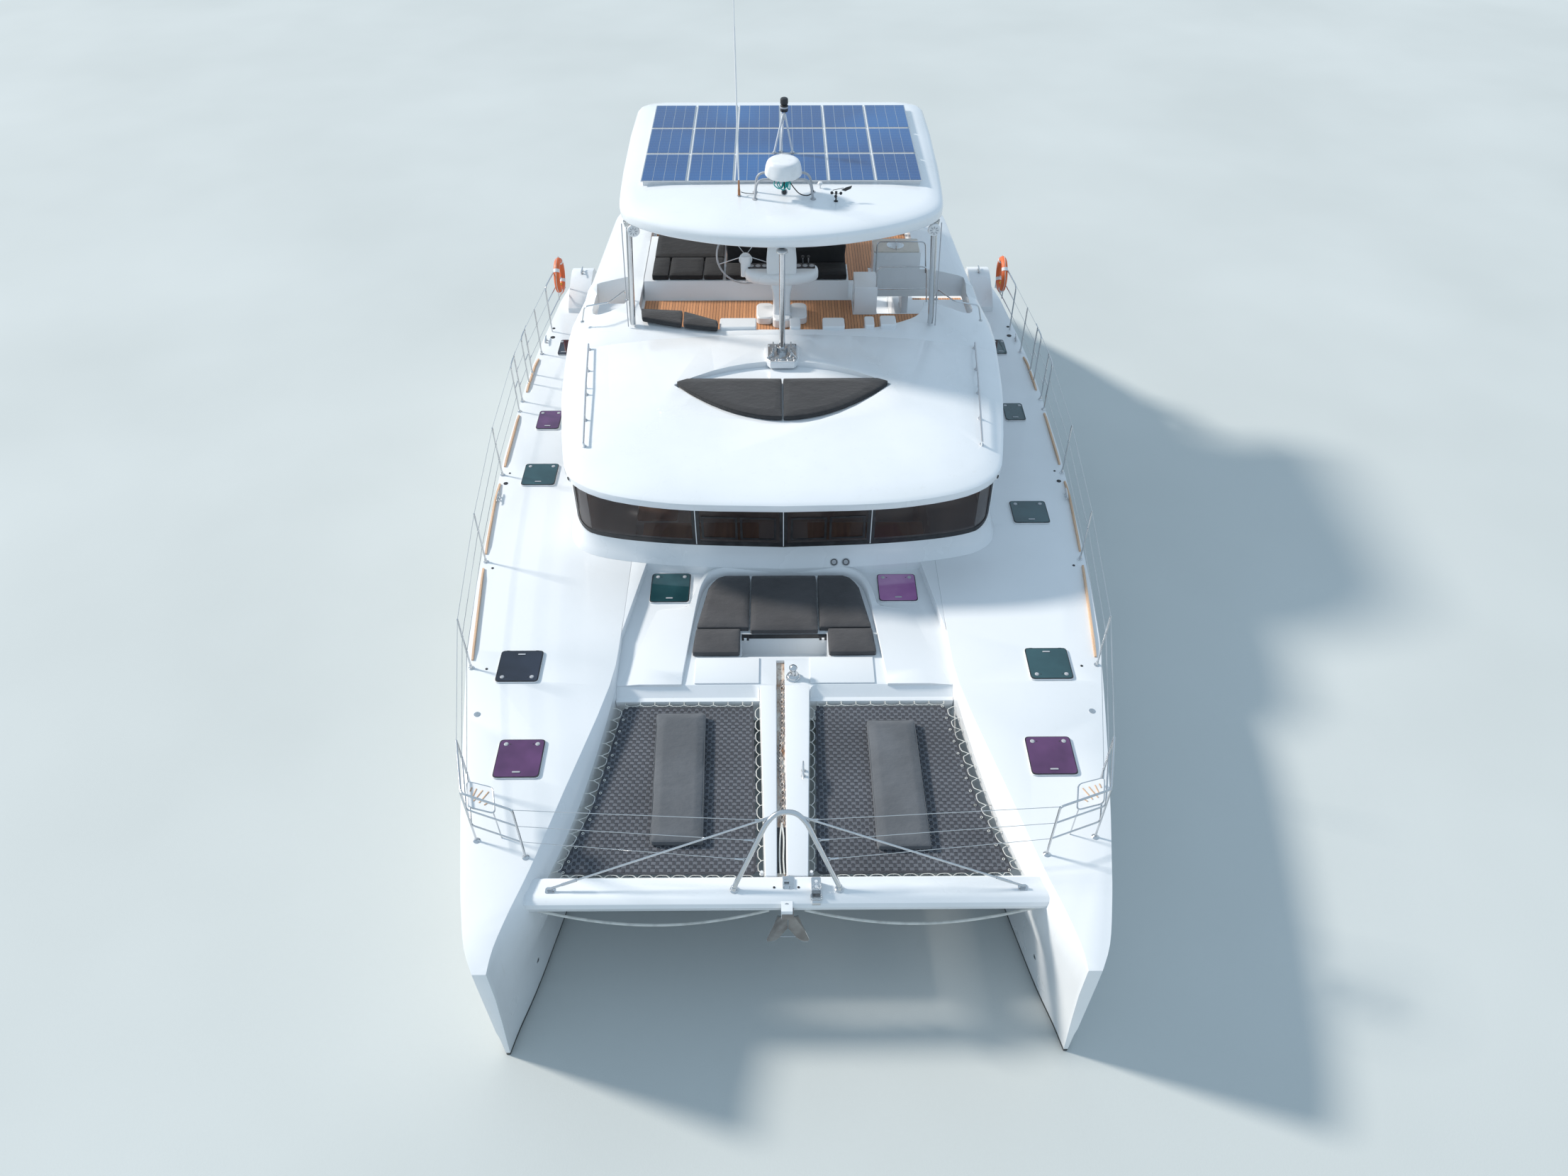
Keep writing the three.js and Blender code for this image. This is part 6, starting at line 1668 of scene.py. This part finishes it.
CABIN = [(0.0, 7.0), (1.38, 7.065), (2.30, 7.165), (2.85, 7.28), (3.15, 7.41), (3.33, 7.61), (3.40, 7.95)]
GLASS_LOW = 2.452
GLASS_HIGH = 3.348
GLASS_EDGE = 3.32
CORNER_REACH = 0.24
# Borders of the side glass: s from and to, z from and to
SIDE_BORDERS = [(8.15, 11.35, 2.56, 2.60), (8.15, 11.35, 3.26, 3.30), (8.15, 8.20, 2.56, 3.30),
                (11.30, 11.35, 2.56, 3.30), (9.72, 9.78, 2.56, 3.30)]


def cabin_path(x0, x1, count, out=0.0):
    """Points along the saloon's front from x0 to x1, a little outside its glass."""
    line = curve(CABIN, 8)
    points = []
    for x in (x0 + (x1 - x0) * i / count for i in range(count + 1)):
        a, b = next((a, b) for a, b in zip(line, line[1:]) if a.x <= abs(x) <= b.x + 1e-9)
        spot = a.lerp(b, (abs(x) - a.x) / max(b.x - a.x, 1e-9))
        spot += Vector((b.y - a.y, a.x - b.x)).normalized() * out
        points.append((-spot.x if x < 0 else spot.x, spot.y))
    return points


def strip(shape, line, low, high, thick=0.003, slot=0):
    """An upright strip that follows a line of (x, s). low and high are one height, or one for each point."""
    rings = []
    for i, (x, s) in enumerate(line):
        way = (Vector(line[min(i + 1, len(line) - 1)]) - Vector(line[max(i - 1, 0)])).normalized()
        normal = Vector((way.y, -way.x)) * thick
        if normal.y > 0:
            normal = -normal
        z0, z1 = (z[i] if isinstance(z, list) else z for z in (low, high))
        near, far = (x, s), (x + normal.x, s + normal.y)
        rings.append([at(*near, z0), at(*far, z0), at(*far, z1), at(*near, z1)])
    shape.skin(rings, slot)


def corner_covers(shape, low, high, slot):
    """White panels over the ends of the front glass, behind its rounded corners."""
    line = [p for p in curve(CABIN, 8) if p.x > 3.312 and p.y < 7.80]
    for side in BOTH:
        rings = []
        for i, p in enumerate(line):
            way = (line[min(i + 1, len(line) - 1)] - line[max(i - 1, 0)]).normalized()
            out = Vector((way.y, -way.x))
            corners = ((-0.002, low), (0.0045, low), (0.0045, high), (-0.002, high))
            ring = [(p + out * by, z) for by, z in corners]
            rings.append([at(side * q.x, q.y, z) for q, z in ring])
        shape.skin(rings, slot)


def front_borders(shape, low, high, edge, reach):
    """Black borders, white corners, white joints and four opening lights on the saloon's front glass."""
    for z0, z1 in ((low, low + 0.085), (high - 0.035, high)):
        strip(shape, cabin_path(-edge, edge, 60, 0.0005), z0, z1)
    for side in BOTH:
        ends = sorted((side * (edge - reach), side * edge))
        line = cabin_path(*ends, 10, 0.0012)
        rise = [low + reach - math.sqrt(max(0.0, reach ** 2 - (reach - edge + abs(x)) ** 2)) for x, _ in line]
        strip(shape, line, rise, [z + 0.085 for z in rise])
        strip(shape, cabin_path(*ends, 10, 0.004), low - 0.002, rise, slot=1)
        strip(shape, cabin_path(*sorted((side * (edge - 0.05), side * edge)), 3, 0.0006), low, high)
    for x in (-1.38, 0.0, 1.38):
        strip(shape, cabin_path(x - 0.06, x + 0.06, 2, 0.0007), low, high, 0.0035)
        strip(shape, cabin_path(x - 0.007, x + 0.007, 1, 0.004), low + 0.02, high - 0.02, 0.004, 1)
    bottom, top = low + 0.14, high - 0.30
    for x0, x1 in ((0.13, 0.66), (0.74, 1.27)):
        for a, b in ((x0, x1), (-x0, -x1)):
            for z0, z1 in ((bottom, bottom + 0.035), (top - 0.035, top)):
                strip(shape, cabin_path(a, b, 4, 0.0008), z0, z1, 0.008)
            for x in (a, b):
                strip(shape, cabin_path(x - 0.018, x + 0.018, 1, 0.0009), bottom, top, 0.008)


def saloon_trim():
    shape = Shape()
    front_borders(shape, GLASS_LOW, GLASS_HIGH, GLASS_EDGE, CORNER_REACH)
    for side in BOTH:
        x = side * 3.4005
        for s0, s1, z0, z1 in SIDE_BORDERS:
            shape.box(x - 0.001, x + side * 0.003 + 0.001, s0, s1, z0, z1)
    corner_covers(shape, GLASS_LOW - 0.012, GLASS_HIGH + 0.012, 2)
    place("window_borders", shape, ["black", "white", "gelcoat"])
    panes = Shape()
    frames = Shape()
    for x0, x1 in ((1.85, 3.2), (-3.2, -1.75)):
        panes.box(x0 + 0.01, x1 - 0.01, 11.78, 11.79, 2.51, 3.29)
        frames.tube([at(x, 11.832, z) for x, z in oblong(x0, x1, 2.5, 3.3, 0.05)], 0.012, 8, 0, closed=True)
    place("aft_panes", panes, ["window"])
    place("aft_window_frames", frames, ["black"])


# What shows through the saloon's glass: x and s from and to, corner, z from and to, look, eased edge
FURNITURE = [(0.4, 2.3, 7.32, 7.84, 0.03, 2.2505, 2.262, 0, 0.003),
             (-0.4, -2.3, 7.32, 7.84, 0.03, 2.2505, 2.262, 0, 0.003),
             (0.95, 2.25, 8.85, 11.55, 0.1, 1.802, 1.93, 1, 0.03),
             (2.02, 2.28, 8.85, 11.55, 0.08, 1.93, 2.36, 1, 0.03),
             (-2.42, -1.76, 7.9, 11.4, 0.04, 2.2505, 2.28, 2, 0.006),
             (0.0, 0.85, 9.3, 10.9, 0.1, 1.98, 2.02, 2, 0.008)]


def interior():
    """The dashboard, blinds, pillars, settee, galley and table."""
    shape = Shape()
    for x0, x1, s0, s1, corner, z0, z1, slot, edge in FURNITURE:
        shape.plate(oblong(x0, x1, s0, s1, corner), z0, z1, slot, edge)
    for side in BOTH:
        outer = side * 3.24
        for s in (7.98, 8.60, 9.22):
            shape.box(outer, outer + 0.02, s, s + 0.5, 2.46, 3.30, 1)
        shape.box(side * 1.45, side * 1.49, 7.45, 7.50, 2.26, 3.40, 2)
    shape.lathe([(0.2, 0), (0.2, 0.02), (0.06, 0.03), (0.05, 0.62)], at(0.42, 10.1, 1.351), 20, 3)
    place("saloon_furniture", shape, ["wood", "cream", "wood", "steel"])


# Teak

FLY_FRONT = [(-1.6, 11.20), (-0.9, 11.10), (0.9, 11.10), (1.6, 11.20), (2.15, 11.40), (2.44, 11.70),
             (2.55, 12.02), (1.74, 12.02), (1.74, 12.0), (1.31, 12.0), (1.31, 12.54), (-2.55, 12.54),
             (-2.55, 12.0), (-2.44, 11.70), (-2.15, 11.42)]
FLY_BACK = [(-1.0, 13.34), (1.7, 13.34), (1.7, 13.84), (2.55, 13.84), (2.55, 16.2), (-2.55, 16.2),
            (-2.55, 14.54), (-1.0, 14.54)]
# Stairs to the flybridge: x from and to, front, back
STAIRS = [(-3.40, -2.87, 11.86, 13.46), (2.87, 3.40, 11.89, 13.49)]
STERN_START = 15.62
STERN_RUN = 0.283
STERN_RISE = 0.275
TREADS = 6


def teak_floors():
    shape = Shape()
    cockpit = oblong(-2.40, 2.40, 12.0, 16.1, 0.05)
    for outline, z in ((FLY_FRONT, FLY_FLOOR), (FLY_BACK, FLY_FLOOR), (cockpit, COCKPIT_FLOOR)):
        shape.plate(outline, z + 0.0005, z + 0.010, 0, 0.003)
    treads = []
    for i in range(TREADS):
        for x0, x1, front, back in STAIRS:
            run = (back - front + 0.01) / TREADS
            end = back - run * i
            z = DECK + (FLY_FLOOR - DECK) / (TREADS + 1) * (i + 1)
            treads.append((oblong(x0 + 0.02, x1 - 0.02, end - run + 0.02, end - 0.015, 0.03), z))
        start = STERN_START + STERN_RUN * i
        for side in BOTH:
            plan = oblong(side * 2.94, side * 4.04, start + 0.30, start + 0.55, 0.03)
            treads.append((plan, DECK - STERN_RISE * (i + 1)))
    for outline, z in treads:
        shape.plate(outline, z + 0.0005, z + 0.009, 0, 0.002)
    place("teak_panels", shape, ["teak"])


# The deck's outer edge: s, x
OUTER_EDGE = [(0.0, 3.61), (0.33, 3.77), (0.72, 3.88), (1.36, 4.03), (2.42, 4.25), (3.6, 4.47), (4.6, 4.61),
              (7.0, 4.88), (8.6, 5.0), (11.1, 5.03), (12.9, 5.0), (15.1, 4.79)]
TOE_RAILS = [(4.9, 6.9), (7.25, 9.1), (9.6, 11.2), (12.0, 13.2)]


def toe_rails():
    shape = Shape()
    for side in BOTH:
        for s0, s1 in TOE_RAILS:
            rings = []
            for i in range(9):
                s = s0 + (s1 - s0) * i / 8
                top = DECK + (0.025 if i in (0, 8) else 0.045)
                x = side * (between(OUTER_EDGE, s) - 0.06)
                rings.append([at(x - 0.017, s, DECK), at(x + 0.017, s, DECK), at(x + 0.014, s, top),
                              at(x - 0.014, s, top)])
            shape.skin(rings)
    place("toe_rails", shape, ["weathered"])


def main():
    camera()
    studio()
    frame_finish()
    hatches()
    rails()
    trampolines()
    net_pads()
    foredeck_seat()
    foredeck_mouldings()
    roof_seat()
    flybridge_seats()
    cockpit_seats()
    beam_gear()
    anchor_gear()
    windlass_gear()
    bridle()
    bow_fittings()
    deck_fittings()
    solar_panels()
    radar_gear()
    wind_sensor()
    light_stand()
    whip()
    post_heads()
    centre_post_gear()
    flybridge_fittings()
    helm()
    wheel()
    saloon_trim()
    interior()
    teak_floors()
    toe_rails()
    roof_rails()
    hull_fittings()
    flybridge_lockers()


main()
